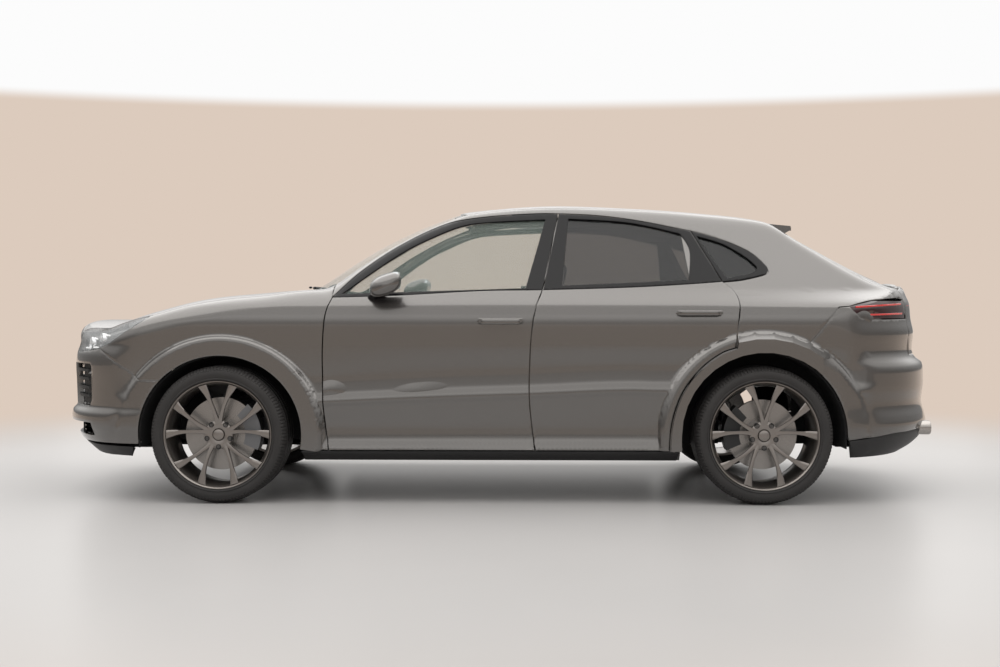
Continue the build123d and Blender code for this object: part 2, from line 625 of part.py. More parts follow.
def upper_frame():
    """Left windscreen pillar, roof rail and quarter panel, in their outer skin."""
    start = aft(-510)
    rail = side_slab(FENDER_REAR_X + JOINT_GAP, start, 1085, depth=RAIL_DEPTH, columns=12, rows=8, turn=70)
    quarter = side_slab(start, aft(640), SILL_TOP_Z - SEAM, depth=RAIL_DEPTH, columns=14, turn=70)
    corner = end_band(REAR_AXLE_X, 1, (-66, -30), CORNER_LEVELS, 0, RAIL_DEPTH)
    corner &= block(aft(640), TAIL_X + 20, -HALF_WIDTH, -MIDDLE_HALF(LIP_X), 0, 2000)
    skin = rail + quarter + corner + (flare(*REAR_ARCH) & across(quarter_shape()))
    skin -= across(offset(DOORWAY, SEAM, kind=Kind.INTERSECTION))
    skin -= across(QUARTER_GLASS)
    skin -= across(wheel_arch(*REAR_ARCH))
    skin -= block(aft(300), TAIL_X + 100, -1300, 0, 0, BUMPER_TOP_Z - 3)
    return skin - tail_lamp(3 * JOINT_GAP)


def middle_room(x_from, x_to, z_from):
    """The upright space between the body sides that the windscreen, roof and tailgate lie in."""
    edge = [(x, MIDDLE_HALF(x) + EDGE_GAP) for x in np.linspace(x_from, x_to, 40)]
    return upright(make_face(Polyline(*edge, *[(x, -y) for x, y in edge[::-1]], close=True)), z_from)


def body_side():
    """The left side of the body: sill, pillars, roof rail and quarter panel in one."""
    side = door_frame() + upper_frame() - middle_room(FENDER_REAR_X - 40, TAILGATE_X, 1102)
    side -= middle_room(TAILGATE_X - 1, LIP_X - 1, 900)
    return side.solids().sort_by(SortBy.VOLUME)[-1]


def quarter_shape():
    """Side view of what belongs to the quarter panel behind the rear door."""
    return outline([(aft(-501) + SEAM, SILL_TOP_Z)],
                   [(aft(-495) + SEAM, 398), (aft(-470) + SEAM, 509), (aft(-420) + SEAM, 621),
                    (aft(-329) + SEAM, 725)],
                   [(aft(-229) + SEAM, 798)], [(aft(-154) + SEAM, 826)],
                   [(aft(-100), 1100)], [(aft(700), 1100)], [(aft(700), SILL_TOP_Z)])


def tail_lamp(growth=0):
    """The left corner lamp, set into the quarter panel."""
    g = growth
    levels = np.linspace(LAMP_LOW_Z - g, LAMP_HIGH_Z + g, 4)
    band = end_band(REAR_AXLE_X, 1, (-66, 66), levels, -2 - g, 27 + 2 * g)
    shape = outline([(aft(449) - 2 * g, 1049)], [(aft(490) - 2 * g, LAMP_LOW_Z - g)], [(TAIL_X + 50, LAMP_LOW_Z - g)],
                    [(TAIL_X + 50, LAMP_HIGH_Z + g)], [(aft(585), LAMP_HIGH_Z + g)])
    return band & across(shape) & block(aft(400), TAIL_X + 50, -HALF_WIDTH, -640 + g, 0, 2000)


def mirror_housing():
    """Left door mirror: a rounded shell on a foot that stands on the door's waist."""
    shell = Pos(fore(885), -HALF_WIDTH - 4, 1172) * Rot(0, 6, 8) * Box(120, 190, 112)
    shell = fillet(shell.edges(), 34)
    foot = across(outline([(fore(770), 1075)], [(fore(860), 1075)], [(fore(905), 1135)], [(fore(815), 1135)]),
                  860, 975)
    door = side_slab(fore(700), fore(980), 1000, 1260, inset=-2, depth=80, columns=7, rows=9)
    return shell + foot - door


# ---- wheels --------------------------------------------------------------------------------------
def on_hub(part, axle_x, centre_y):
    """Moves a wheel part, made about the Y axis with its outer face at -Y, to its left hub."""
    return Pos(axle_x, centre_y, TYRE_RADIUS) * part


def ring_profile(points):
    """Turns a closed outline of (radius, y) points about the Y axis."""
    return revolve(make_face(Polyline(*points, close=True)), Axis.Y)


BEAD_GAP = 0.5                  # between the tyre and the rim's flange


def tyre(width):
    half = width / 2
    bead = RIM_RADIUS - 9
    tread = [(TYRE_RADIUS - 16, -half + 14), (TYRE_RADIUS - 3, -half + 40), (TYRE_RADIUS, 0),
             (TYRE_RADIUS - 3, half - 40), (TYRE_RADIUS - 16, half - 14)]
    flange = RIM_RADIUS + BEAD_GAP
    face = outline([(bead, -half + 21)], [(flange, -half + 14)], [(flange + 2, -half + 5), (RIM_RADIUS + 34, -half)],
                   tread[:-1],
                   [tread[-1], (RIM_RADIUS + 34, half), (flange + 2, half - 5)],
                   [(flange, half - 14)], [(bead, half - 21)])
    return revolve(face, Axis.Y)


SPOKE_PAIRS = 5
SPOKE_SPREAD = 17.5             # degrees from the middle of a pair to each arm's end
SPOKE_WIDTH = 25
HUB_RADIUS = 74


def spoke_arm(turn):
    """One curved arm in the wheel's plane, from the hub to the rim; turn is +1 or -1."""
    places = np.linspace(0, 1, 5)
    radii = HUB_RADIUS - 22 + places * (RIM_RADIUS - 4 - HUB_RADIUS + 22)
    angles = np.radians(90 + turn * (SPOKE_SPREAD * places ** 0.75 + 3))
    centres = [Vector(r * math.cos(a), r * math.sin(a)) for r, a in zip(radii, angles)]
    left, right = [], []
    for i, centre in enumerate(centres):
        run = centres[min(i + 1, 4)] - centres[max(i - 1, 0)]
        side = Vector(-run.Y, run.X).normalized() * (SPOKE_WIDTH / 2)
        left.append(centre + side)
        right.append(centre - side)
    edges = [Spline(*left), Line(left[-1], right[-1]), Spline(*right[::-1]), Line(right[0], left[0])]
    return make_face(edges)


def rim(width):
    """A forged wheel: barrel, five pairs of slim arms and a hub with its bolt holes."""
    half = width / 2 - 5
    seat = RIM_RADIUS - 9.3
    barrel = ring_profile([(RIM_RADIUS, -half), (RIM_RADIUS, -half + 8), (seat, -half + 14), (seat, half - 14),
                           (RIM_RADIUS, half - 8), (RIM_RADIUS, half), (seat - 10, half), (seat - 10, half - 60),
                           (seat - 12, -half + 60), (seat - 12, -half)])
    arms = Sketch() + [Rot(0, 0, 360 * i / SPOKE_PAIRS) * spoke_arm(turn)
                       for i in range(SPOKE_PAIRS) for turn in (-1, 1)]
    plate = arms + Circle(HUB_RADIUS)
    star = extrude(Plane.XZ.offset(half) * plate, amount=-90)
    dish = ring_profile([(0, -half + 26), (120, -half + 18), (RIM_RADIUS - 12, -half + 3),
                         (RIM_RADIUS - 12, -half + 44), (120, -half + 70), (0, -half + HUB_FACE_DEPTH)])
    bolt = Plane.XZ.offset(half + 10) * Cylinder(WHEEL_BOLT_HOLE / 2, 300)
    wheel = barrel + (star & dish)
    for i in range(WHEEL_BOLTS):
        turn = math.radians(126 + 360 * i / WHEEL_BOLTS)
        reach = WHEEL_BOLT_CIRCLE / 2
        wheel -= Pos(reach * math.cos(turn), 0, reach * math.sin(turn)) * bolt
    return wheel


DISC_THICKNESS = 36
HUB_FACE_DEPTH = 92             # wheel's mounting face behind its outer face


def brake_disc(radius, width):
    """Ventilated disc with its hat, bolted behind the wheel."""
    face = -(width / 2 - 5) + HUB_FACE_DEPTH
    return ring_profile([(34, face), (88, face), (88, face + 14), (radius, face + 14),
                         (radius, face + 14 + DISC_THICKNESS), (100, face + 14 + DISC_THICKNESS),
                         (100, face + 24), (76, face + 24), (76, face + 10), (34, face + 10)])


def wheel_centre_y(width):
    return -(WHEEL_FACE_Y - width / 2 + 5)


FRONT_DISC, REAR_DISC = 195, 186
FRONT_WHEEL_Y = wheel_centre_y(FRONT_TYRE_WIDTH)
REAR_WHEEL_Y = wheel_centre_y(REAR_TYRE_WIDTH)
DISC_Y = -WHEEL_FACE_Y + HUB_FACE_DEPTH          # the plane where wheel and disc meet, both axles
KINGPIN_Y = -790
RUNNING_GAP = 0.4


def caliper(axle_x, radius, behind):
    """A brake caliper that straddles the disc's edge, ahead of or behind the hub."""
    inner, outer = DISC_Y + 14 + DISC_THICKNESS + 5, DISC_Y + 14 - 5
    turn = 12 if behind else 168
    shape = Sketch() + Circle(radius + 22) - Circle(radius - 62)
    wedge = outline([(0, 0)], [(320 * math.cos(0.62), -320 * math.sin(0.62))], [(330, 0)],
                    [(320 * math.cos(0.62), 320 * math.sin(0.62))])
    shape = shape & wedge
    body = extrude(Plane.XZ.offset(-inner - 26) * (Rot(0, 0, turn) * shape), amount=inner - outer + 26 + 24)
    slot = Plane.XZ * Cylinder(radius + 6, 2000) & block(-400, 400, outer, inner, -400, 400)
    return Pos(axle_x, 0, TYRE_RADIUS) * (body - slot)


def hub_carrier(axle_x, radius, behind):
    """Left knuckle: bearing housing, upright arm with ball joint bosses, and the caliper on its bracket."""
    z = TYRE_RADIUS
    back = DISC_Y + 14 + DISC_THICKNESS + 12
    housing = rod((axle_x, back + 70, z), (axle_x, DISC_Y + 26, z), 70)
    stub = rod((axle_x, back, z), (axle_x, DISC_Y + RUNNING_GAP, z), 33)
    upright_arm = block(axle_x - 35, axle_x + 35, KINGPIN_Y - 30, KINGPIN_Y + 30, z - 150, z + 170)
    reach = 1 if behind else -1
    bracket = block(axle_x + reach * 30, axle_x + reach * (radius - 40), back, back + 26, z - 35, z + 35)
    return housing + stub + upright_arm + bracket + caliper(axle_x, radius, behind)


# ---- what shows from below and through the glass ---------------------------------------------------
FLOOR_Z = 300
FLOOR_PLATE = 22
INNER_Y = 735                   # inner face of the sills and pillars
PILLAR_Y = 780                  # outer face of the pillars behind the doors
LINER_Y = 470                   # inner wall of the wheel housings
LINER_WALL = 5
DECK_Z = 700                    # luggage floor
SHELF_Z = 420                   # raised floor under the rear seat


def floor_pan():
    """Floor from the footwell to the rear seat, the raised deck over the rear axle and the front rails."""
    floor = block(fore(480), aft(-520), -INNER_Y + JOINT_GAP, INNER_Y - JOINT_GAP, FLOOR_Z, FLOOR_Z + FLOOR_PLATE)
    tunnel = block(fore(480), aft(-520), -130, 130, FLOOR_Z, FLOOR_Z + 150)
    hollow = block(fore(470), aft(-500), -105, 105, FLOOR_Z - 5, FLOOR_Z + 125)
    step = block(aft(-542), aft(-520), -640, 640, FLOOR_Z, SHELF_Z)
    shelf = block(aft(-542), aft(-158), -640, 640, SHELF_Z - FLOOR_PLATE, SHELF_Z)
    riser = block(aft(-180), aft(-158), -640, 640, SHELF_Z - FLOOR_PLATE, DECK_Z)
    deck = block(aft(-180), aft(790), -640, 640, DECK_Z - FLOOR_PLATE, DECK_Z)
    rails = both_sides(block(fore(-820), fore(490), JOINT_GAP - LINER_Y, 60 - LINER_Y, 420, 520))
    legs = both_sides(block(fore(480), fore(560), JOINT_GAP - LINER_Y, 60 - LINER_Y, FLOOR_Z, 520))
    return (floor + tunnel - hollow) + step + shelf + riser + deck + rails + legs


def firewall():
    """Bulkhead between engine bay and cabin, with the cowl under the windscreen's foot."""
    wall = block(fore(480), fore(502), -720, 720, FLOOR_Z + FLOOR_PLATE + JOINT_GAP, 1040)
    rails = both_sides(block(fore(470), fore(570), -LINER_Y, 61 - LINER_Y, FLOOR_Z, 521))
    cowl = top_slab(WINDSCREEN_BASE_X - 45, fore(640), lift=-26, depth=22, columns=14)
    cowl &= upright(bowed_outline(WINDSCREEN_BASE_X - 38, fore(495), 720, 720, 160, 0))
    bridge = block(fore(440), fore(500), -690, 690, 1030, 1098)
    tunnel = block(fore(400), fore(600), -131, 131, FLOOR_Z, FLOOR_Z + 151)
    return wall + bridge + cowl - rails - tunnel


def wheel_housing(axle_x, half_length, rise, inner_y, outer_y):
    """A left arch liner: a half-round shell over the wheel with a wall inboard."""
    shell = across(wheel_arch(axle_x, half_length, rise, -JOINT_GAP), inner_y, outer_y)
    room = across(wheel_arch(axle_x, half_length, rise, -JOINT_GAP - LINER_WALL), inner_y + LINER_WALL, outer_y + 20)
    return (shell - room) & block(axle_x - 600, axle_x + 600, -1000, 0, SILL_TOP_Z + 10, 900)


def wheel_housings():
    front = wheel_housing(*FRONT_ARCH, LINER_Y, HALF_WIDTH - 62)
    gap = block(fore(-200), fore(200), -LINER_Y - 20, -LINER_Y + 20, 0, 610)
    rear = wheel_housing(*REAR_ARCH, 642, HALF_WIDTH - 62)
    rear_gap = block(aft(-200), aft(200), -700, -600, 0, 610)
    return both_sides(front - gap) + both_sides(rear - rear_gap)


def engine():
    return block(fore(-330), fore(400), -310, 310, 330, 860)


def undertray():
    """Plastic trays that close the car from below, and the black sill strips."""
    front = block(fore(-690), fore(-455), -600, 600, 262, 272)
    middle = block(fore(-455), fore(470), -360, 360, 252, 262) + block(fore(-470), fore(-450), -360, 360, 252, 272)
    rear = block(aft(455), aft(740), -600, 600, 272, 282)
    return front + middle + rear


def front_axle():
    """Front subframe with lower wishbones and upper arms out to the ball joints under and over each knuckle."""
    z = TYRE_RADIUS
    frame = block(FRONT_AXLE_X - 170, FRONT_AXLE_X + 190, -360, 360, 275, 325)
    low, high = z - KNUCKLE_DROP, z + KNUCKLE_RISE
    joint = (FRONT_AXLE_X, KINGPIN_Y)
    side = rod((FRONT_AXLE_X - 130, -345, 300), (*joint, low - 30), 17)
    side += rod((FRONT_AXLE_X + 150, -345, 300), (*joint, low - 30), 17)
    side += rod((*joint, low - 40), (*joint, low - RUNNING_GAP), 20)
    side += rod((*joint, high + RUNNING_GAP), (*joint, high + 36), 20)
    side += rod((FRONT_AXLE_X - 60, -330, high + 22), (*joint, high + 20), 14)
    side += rod((FRONT_AXLE_X + 60, -330, high + 22), (*joint, high + 20), 14)
    side += block(FRONT_AXLE_X - 85, FRONT_AXLE_X + 85, -360, -345, 320, high + 45)
    return frame + both_sides(side)


KNUCKLE_DROP, KNUCKLE_RISE = 150, 170


def rear_axle():
    """Rear subframe and arms with the rear hub carriers, which don't steer."""
    z = TYRE_RADIUS
    frame = block(REAR_AXLE_X - 190, REAR_AXLE_X + 150, -400, 400, 275, 345)
    end = (REAR_AXLE_X, KINGPIN_Y + 22)
    side = hub_carrier(REAR_AXLE_X, REAR_DISC, False)
    side += rod((REAR_AXLE_X - 150, -385, 310), (*end, z - 120), 17)
    side += rod((REAR_AXLE_X + 120, -385, 310), (*end, z - 120), 17)
    side += rod((REAR_AXLE_X - 60, -385, 330), (*end, z + 130), 14)
    side += rod((REAR_AXLE_X, -400, z), (*end, z), 24)
    side += block(REAR_AXLE_X - 40, REAR_AXLE_X + 40, -400, -380, 340, z + 30)
    return frame + both_sides(side)


def exhaust():
    """Silencer across the tail with a pair of tips in the bumper's lower corners."""
    silencer = block(aft(500), aft(720), -600, 600, 330, 470)
    return silencer + both_sides(exhaust_tip(TIP_RADIUS))


TIP_RADIUS = 36


def exhaust_tip(radius):
    return rod((aft(700), -540, 384), (aft(978), -540, 380), radius)


# ---- cabin ---------------------------------------------------------------------------------------
def seat(x, y, width, back_top, foot_z, cushion_z):
    """One seat: cushion, leaning back and headrest, as a single closed shape in side view."""
    shape = outline([(x, foot_z)], [(x + 500, foot_z)], [(x + 720, back_top - 40)],
                    [(x + 650, back_top)], [(x + 590, back_top - 40)], [(x + 430, cushion_z + 40)],
                    [(x, cushion_z)])
    return Pos(0, y + width / 2, 0) * extrude(Plane.XZ * shape, amount=width)


def front_seats():
    left = seat(fore(1150), -372, 476, 1290, 400, 560)
    base = block(fore(1170), fore(1600), -570, -170, FLOOR_Z + FLOOR_PLATE + JOINT_GAP, 401)
    return both_sides(left + base)


def rear_seat():
    foot_z = SHELF_Z + JOINT_GAP
    bench = seat(aft(-770), 0, 1240, 1220, foot_z, 580)
    base = block(aft(-760), aft(-542) - JOINT_GAP, -600, 600, FLOOR_Z + FLOOR_PLATE + JOINT_GAP, foot_z)
    tunnel = block(aft(-780), aft(-500), -131, 131, FLOOR_Z, FLOOR_Z + 150 + JOINT_GAP)
    return bench + base - tunnel


def dashboard():
    """Instrument panel with the steering column's shroud."""
    shape = outline([(fore(504), 700)], [(fore(760), 700)], [(fore(905), 860), (fore(905), 930), (fore(840), 1020)],
                    [(fore(560), 1035)])
    panel = Pos(0, 715, 0) * extrude(Plane.XZ * shape, amount=1430)
    binnacle = outline([(fore(760), 1000)], [(fore(900), 940)], [(fore(900), 1060), (fore(800), 1085)])
    panel += Pos(0, -220, 0) * extrude(Plane.XZ * binnacle, amount=320)
    x, y, z = STEERING_HUB
    lean = math.radians(STEERING_LEAN)
    return panel + rod((x - 130 * math.cos(lean), y, z - 130 * math.sin(lean)), STEERING_HUB, 30)


STEERING_HUB = (fore(1010), -380, 920)
STEERING_LEAN = 25


def steering_wheel():
    """Rim, three spokes and a boss, on the end of the column."""
    lean = math.radians(STEERING_LEAN)
    ring = Torus(178, 15)
    boss = Pos(0, 0, -18) * Cylinder(58, 30)
    arms = Box(350, 34, 12) + Pos(0, -87, 0) * Box(40, 175, 12)
    place = Plane(origin=STEERING_HUB, x_dir=(0, 1, 0), z_dir=(math.cos(lean), 0, math.sin(lean)))
    return place.offset(33 + RUNNING_GAP) * (ring + boss + arms)


# ---- nodes ---------------------------------------------------------------------------------------
def write_node(name, *solids):
    """Writes one piece, given as one shape or as several that don't touch."""
    pieces = [solid for shape in solids for solid in shape.solids()]
    export_step(pieces[0] if len(pieces) == 1 else Compound(children=pieces), f"parts/{name}.step")


def write_pair(name, part):
    """Writes a left piece and its mirror image."""
    write_node(f"{name}_left", part)
    write_node(f"{name}_right", mirror(part, about=Plane.XZ))


def wheel_parts(place, axle_x, tyre_width, centre_y, disc_radius):
    write_pair(f"tyre_{place}", on_hub(tyre(tyre_width), axle_x, centre_y))
    write_pair(f"rim_{place}", on_hub(rim(tyre_width), axle_x, centre_y))
    write_pair(f"brake_disc_{place}", on_hub(brake_disc(disc_radius, tyre_width), axle_x, centre_y))


os.makedirs("parts", exist_ok=True)
write_pair("body_side", body_side())
write_node("front_fenders", both_sides(fender()))
write_node("front_bumper", front_bumper())
write_node("front_grilles", front_grilles())
write_node("headlamps", both_sides(headlamp()))
write_node("rear_bumper", rear_bumper())
write_node("tail_lamps", both_sides(tail_lamp()))
write_node("windscreen", windscreen())
write_node("roof_panel", roof_panel())
write_node("roof_window", roof_window())
write_node("quarter_windows", both_sides(door_glass(QUARTER_GLASS, aft(-380), aft(40))))
write_node("hood", hood())
write_node("tailgate_panel", tailgate_panel())
write_node("light_strip", light_strip())
write_node("rear_window", rear_window())
write_node("rear_spoiler", rear_spoiler())
front_door = door_panel(FRONT_DOOR, FRONT_DOOR_GLASS, DOOR_FRONT_X - 10, fore(1830)) + handle(fore(1503), 975)
rear_door = door_panel(REAR_DOOR, REAR_DOOR_GLASS, fore(1640), aft(-110)) + handle(aft(-340), 1015)
write_pair("front_door_panel", front_door)
write_pair("rear_door_panel", rear_door)
write_pair("front_door_glass", door_glass(FRONT_DOOR_GLASS, fore(620), fore(1770)))
write_pair("rear_door_glass", door_glass(REAR_DOOR_GLASS, fore(1810), aft(-350)))
write_pair("mirror", mirror_housing())
wheel_parts("front", FRONT_AXLE_X, FRONT_TYRE_WIDTH, FRONT_WHEEL_Y, FRONT_DISC)
wheel_parts("rear", REAR_AXLE_X, REAR_TYRE_WIDTH, REAR_WHEEL_Y, REAR_DISC)
write_pair("front_knuckle", hub_carrier(FRONT_AXLE_X, FRONT_DISC, True))
write_node("front_axle", front_axle())
write_node("rear_axle", rear_axle())
write_node("floor_pan", floor_pan())
write_node("firewall", firewall())
write_node("wheel_housings", wheel_housings())
write_node("engine", engine())
write_node("undertray", undertray())
write_node("exhaust", exhaust())
write_node("front_seats", front_seats())
write_node("rear_seat", rear_seat())
write_node("dashboard", dashboard())
write_node("steering_wheel", steering_wheel())
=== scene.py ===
import json
import math

import bpy
import bmesh
import numpy as np
from mathutils import Matrix, Vector
from mathutils.geometry import delaunay_2d_cdt


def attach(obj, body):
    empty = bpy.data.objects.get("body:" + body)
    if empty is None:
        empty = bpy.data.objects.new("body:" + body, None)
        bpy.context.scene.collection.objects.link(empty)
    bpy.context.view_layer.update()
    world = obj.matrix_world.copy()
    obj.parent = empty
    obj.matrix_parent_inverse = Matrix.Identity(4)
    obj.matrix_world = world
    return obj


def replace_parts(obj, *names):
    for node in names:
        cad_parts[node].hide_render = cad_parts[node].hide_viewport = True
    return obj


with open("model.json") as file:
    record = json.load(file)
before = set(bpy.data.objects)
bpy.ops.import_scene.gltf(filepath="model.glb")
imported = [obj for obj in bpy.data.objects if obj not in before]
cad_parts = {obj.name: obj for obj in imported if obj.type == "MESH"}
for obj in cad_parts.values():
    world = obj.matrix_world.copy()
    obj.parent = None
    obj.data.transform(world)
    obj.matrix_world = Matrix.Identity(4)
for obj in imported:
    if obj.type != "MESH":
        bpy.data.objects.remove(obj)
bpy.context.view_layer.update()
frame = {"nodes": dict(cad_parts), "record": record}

# ---- camera ---------------------------------------------------------------------------------------
# A 47.5 mm lens at eye height, eight metres from the left side, turned a little towards the nose.
camera = bpy.data.objects.new("camera", bpy.data.cameras.new("camera"))
bpy.context.scene.collection.objects.link(camera)
camera.data.lens = 47.51
camera.data.sensor_width = 36
camera.location = (0.1839, -7.93, 1.0491)
camera.rotation_euler = (math.radians(90) - 0.0205, 0, 0.0228)
bpy.context.scene.camera = camera
bpy.context.scene.view_settings.view_transform = "Standard"

# ---- floor, backdrop and light --------------------------------------------------------------------
# A pale sealed concrete floor that fades into a warm plaster backdrop, under a wide luminous ceiling.
WALL_COLOUR = "#dccbbd"
FLOOR_COLOUR = "#b3b1b0"


def linear(hex_colour):
    """sRGB hex to the linear RGBA that shaders take."""
    values = [int(hex_colour[i:i + 2], 16) / 255 for i in (1, 3, 5)]
    return (*[v / 12.92 if v <= 0.04045 else ((v + 0.055) / 1.055) ** 2.4 for v in values], 1)


def add(tree, kind, inputs=None, **settings):
    """Adds one node to a tree, with its settings; an input takes a value or another node's socket."""
    made = tree.nodes.new(kind)
    for name, value in settings.items():
        setattr(made, name, value)
    for name, value in (inputs or {}).items():
        if isinstance(value, bpy.types.NodeSocket):
            tree.links.new(value, made.inputs[name])
        else:
            made.inputs[name].default_value = value
    return made


def new_material(name):
    """A material with an empty tree and its output node."""
    made = bpy.data.materials.new(name)
    made.use_nodes = True
    made.node_tree.nodes.clear()
    return made, made.node_tree, made.node_tree.nodes.new("ShaderNodeOutputMaterial")


world = bpy.data.worlds.new("studio")
bpy.context.scene.world = world
world.use_nodes = True
tree = world.node_tree
tree.nodes.clear()
ray = add(tree, "ShaderNodeLightPath")
seen = add(tree, "ShaderNodeMath", {0: ray.outputs["Is Camera Ray"], 1: ray.outputs["Is Transmission Ray"]},
           operation="MAXIMUM")
# the light on the car is dim from the horizon down, and bright from the ceiling
height = add(tree, "ShaderNodeSeparateXYZ", {0: add(tree, "ShaderNodeTexCoord").outputs["Generated"]})
level = add(tree, "ShaderNodeMapRange", {"Value": height.outputs["Z"], "From Min": 0.0, "From Max": 0.4,
                                         "To Min": 0.24, "To Max": 1.3}, interpolation_type="SMOOTHSTEP")
soft = add(tree, "ShaderNodeBackground", {"Color": linear("#f4f2f0"), "Strength": level.outputs[0]})
# the ceiling's glowing edge is seen nine degrees above the horizon
edge = add(tree, "ShaderNodeMapRange", {"Value": height.outputs["Z"], "From Min": 0.145, "From Max": 0.155},
           interpolation_type="SMOOTHSTEP")
glow_wall = add(tree, "ShaderNodeMix", {0: edge.outputs[0], 6: linear(WALL_COLOUR), 7: linear("#fcfcfc")},
                data_type="RGBA")
wall = add(tree, "ShaderNodeBackground", {"Color": glow_wall.outputs[2], "Strength": 1.0})
mix = add(tree, "ShaderNodeMixShader", {0: seen.outputs[0], 1: soft.outputs[0], 2: wall.outputs[0]})
add(tree, "ShaderNodeOutputWorld", {"Surface": mix.outputs[0]})

floor_material, tree, output = new_material("sealed_concrete")
place = add(tree, "ShaderNodeTexCoord").outputs["Object"]
cloud = add(tree, "ShaderNodeTexNoise", {"Vector": place, "Scale": 0.7, "Detail": 3.0})
tone = add(tree, "ShaderNodeMix", {0: cloud.outputs["Fac"], 6: linear(FLOOR_COLOUR), 7: linear("#abaaa9")},
           data_type="RGBA")
solid = add(tree, "ShaderNodeBsdfPrincipled", {"Base Color": tone.outputs[2], "Roughness": 0.33, "IOR": 1.45})
# the floor turns into the backdrop between 3 and 7.5 m from the car's middle
glow = add(tree, "ShaderNodeEmission", {"Color": linear(WALL_COLOUR), "Strength": 1.0})
reach = add(tree, "ShaderNodeVectorMath", {0: place}, operation="LENGTH")
fade = add(tree, "ShaderNodeMapRange", {"Value": reach.outputs["Value"], "From Min": 3.0, "From Max": 7.5},
           interpolation_type="SMOOTHERSTEP")
mix = add(tree, "ShaderNodeMixShader", {0: fade.outputs[0], 1: solid.outputs[0], 2: glow.outputs[0]})
tree.links.new(mix.outputs[0], output.inputs["Surface"])
FLOOR_HALF = 60
floor_mesh = bpy.data.meshes.new("floor")
floor_mesh.from_pydata([(x * FLOOR_HALF, y * FLOOR_HALF, 0) for x, y in ((-1, -1), (1, -1), (1, 1), (-1, 1))],
                       [], [(0, 1, 2, 3)])
floor = bpy.data.objects.new("floor", floor_mesh)
bpy.context.scene.collection.objects.link(floor)
floor.data.materials.append(floor_material)

# each lamp is aimed at the middle of the car: its name, place, size and power
LAMPS = (("ceiling", (0, 0, 4.6), (11, 8), 360),
         ("left_fill", (0, -9, 2.6), (12, 4), 45),
         ("right_fill", (0, 9, 2.6), (12, 4), 45))
CAR_MIDDLE = Vector((0, 0, 0.6))
for name, place, size, power in LAMPS:
    lamp = bpy.data.lights.new(name, "AREA")
    lamp.shape = "RECTANGLE"
    lamp.size, lamp.size_y = size
    lamp.energy = power
    lamp.color = linear("#fffdfb")[:3]
    holder = bpy.data.objects.new(name, lamp)
    holder.location = place
    holder.rotation_euler = (CAR_MIDDLE - holder.location).to_track_quat("-Z", "Y").to_euler()
    bpy.context.scene.collection.objects.link(holder)

# ---- painted body ---------------------------------------------------------------------------------
# Pressed steel and aluminium panels in grey metallic basecoat under clear lacquer: aluminium flakes
# make it bright where it faces the ceiling and nearly black-brown where it turns down.
paint, tree, output = new_material("metallic_basecoat_clearcoat")
place = add(tree, "ShaderNodeTexCoord").outputs["Object"]
# flakes are 0.03 mm; drawn at 1.2 mm so that they show as a faint sparkle
flake = add(tree, "ShaderNodeTexVoronoi", {"Vector": place, "Scale": 830.0})
bright = add(tree, "ShaderNodeMapRange", {"Value": flake.outputs["Color"], "To Min": 0.86, "To Max": 1.14})
tint = add(tree, "ShaderNodeVectorMath", {0: linear("#62605e")[:3], "Scale": bright.outputs[0]},
           operation="SCALE")
body = add(tree, "ShaderNodeBsdfPrincipled",
           {"Base Color": tint.outputs[0], "Metallic": 0.85, "Roughness": 0.27,
            "Coat Weight": 1.0, "Coat Roughness": 0.04})
tree.links.new(body.outputs[0], output.inputs["Surface"])

# every carried-over node starts in paint; later sections give the others their own finish
for part in frame["record"]["subparts"]:
    mesh = frame["nodes"][part["node"]].data
    mesh.materials.clear()
    mesh.materials.append(paint)

# ---- outer skin -----------------------------------------------------------------------------------
# The body is pressed from steel and aluminium sheet as one smooth shape, cut into panels with even
# gaps. This section has that shape, and the three ways in which a flat sheet is laid over it.
# The shape's own numbers are in millimetres, from the axles, as the drawings of a body have them.
NOSE_X, TAIL_X = -2465.5, 2465.5
HALF_WIDTH, HEIGHT, BELT_Z, SILL_TOP_Z = 991.5, 1632, 1130, 285
FRONT_AXLE, REAR_AXLE, AXLE_Z = -1475.5, 1419.5, 366
BOW_HALF = 900                  # half width at which a bowed edge has fallen by its full depth
GRID = 12.0                     # spacing of a sheet's points


def fore(distance):
    """The x of a place this far behind the front axle."""
    return FRONT_AXLE + distance


def aft(distance):
    """The x of a place this far behind the rear axle."""
    return REAR_AXLE + distance


def smooth_line(*points):
    """A smooth function through (place, value) points that never overshoots them."""
    place, value = np.array(points, float).T
    step = np.diff(place)
    slope = np.diff(value) / step
    product = slope[:-1] * slope[1:]
    total = np.where(product > 0, slope[:-1] + slope[1:], 1)
    tangent = np.concatenate([slope[:1], np.where(product > 0, 2 * product / total, 0), slope[-1:]])

    def at(x):
        i = np.clip(np.searchsorted(place, x) - 1, 0, len(step) - 1)
        t = np.clip((x - place[i]) / step[i], 0, 1)
        rise = t * t * (3 - 2 * t)
        start, end = t * (1 - t) ** 2 * tangent[i], t * t * (t - 1) * tangent[i + 1]
        return value[i] + (value[i + 1] - value[i]) * rise + step[i] * (start + end)

    return at


def ramp(x, start, end):
    """0 before start, 1 after end, and a smooth rise between."""
    t = np.clip((x - start) / (end - start), 0, 1)
    return t * t * (3 - 2 * t)


def smooth_max(a, b, radius):
    """The larger of two fields, with their crossing rounded."""
    overlap = np.maximum(radius - np.abs(a - b), 0)
    return np.maximum(a, b) + overlap ** 2 / (4 * radius)


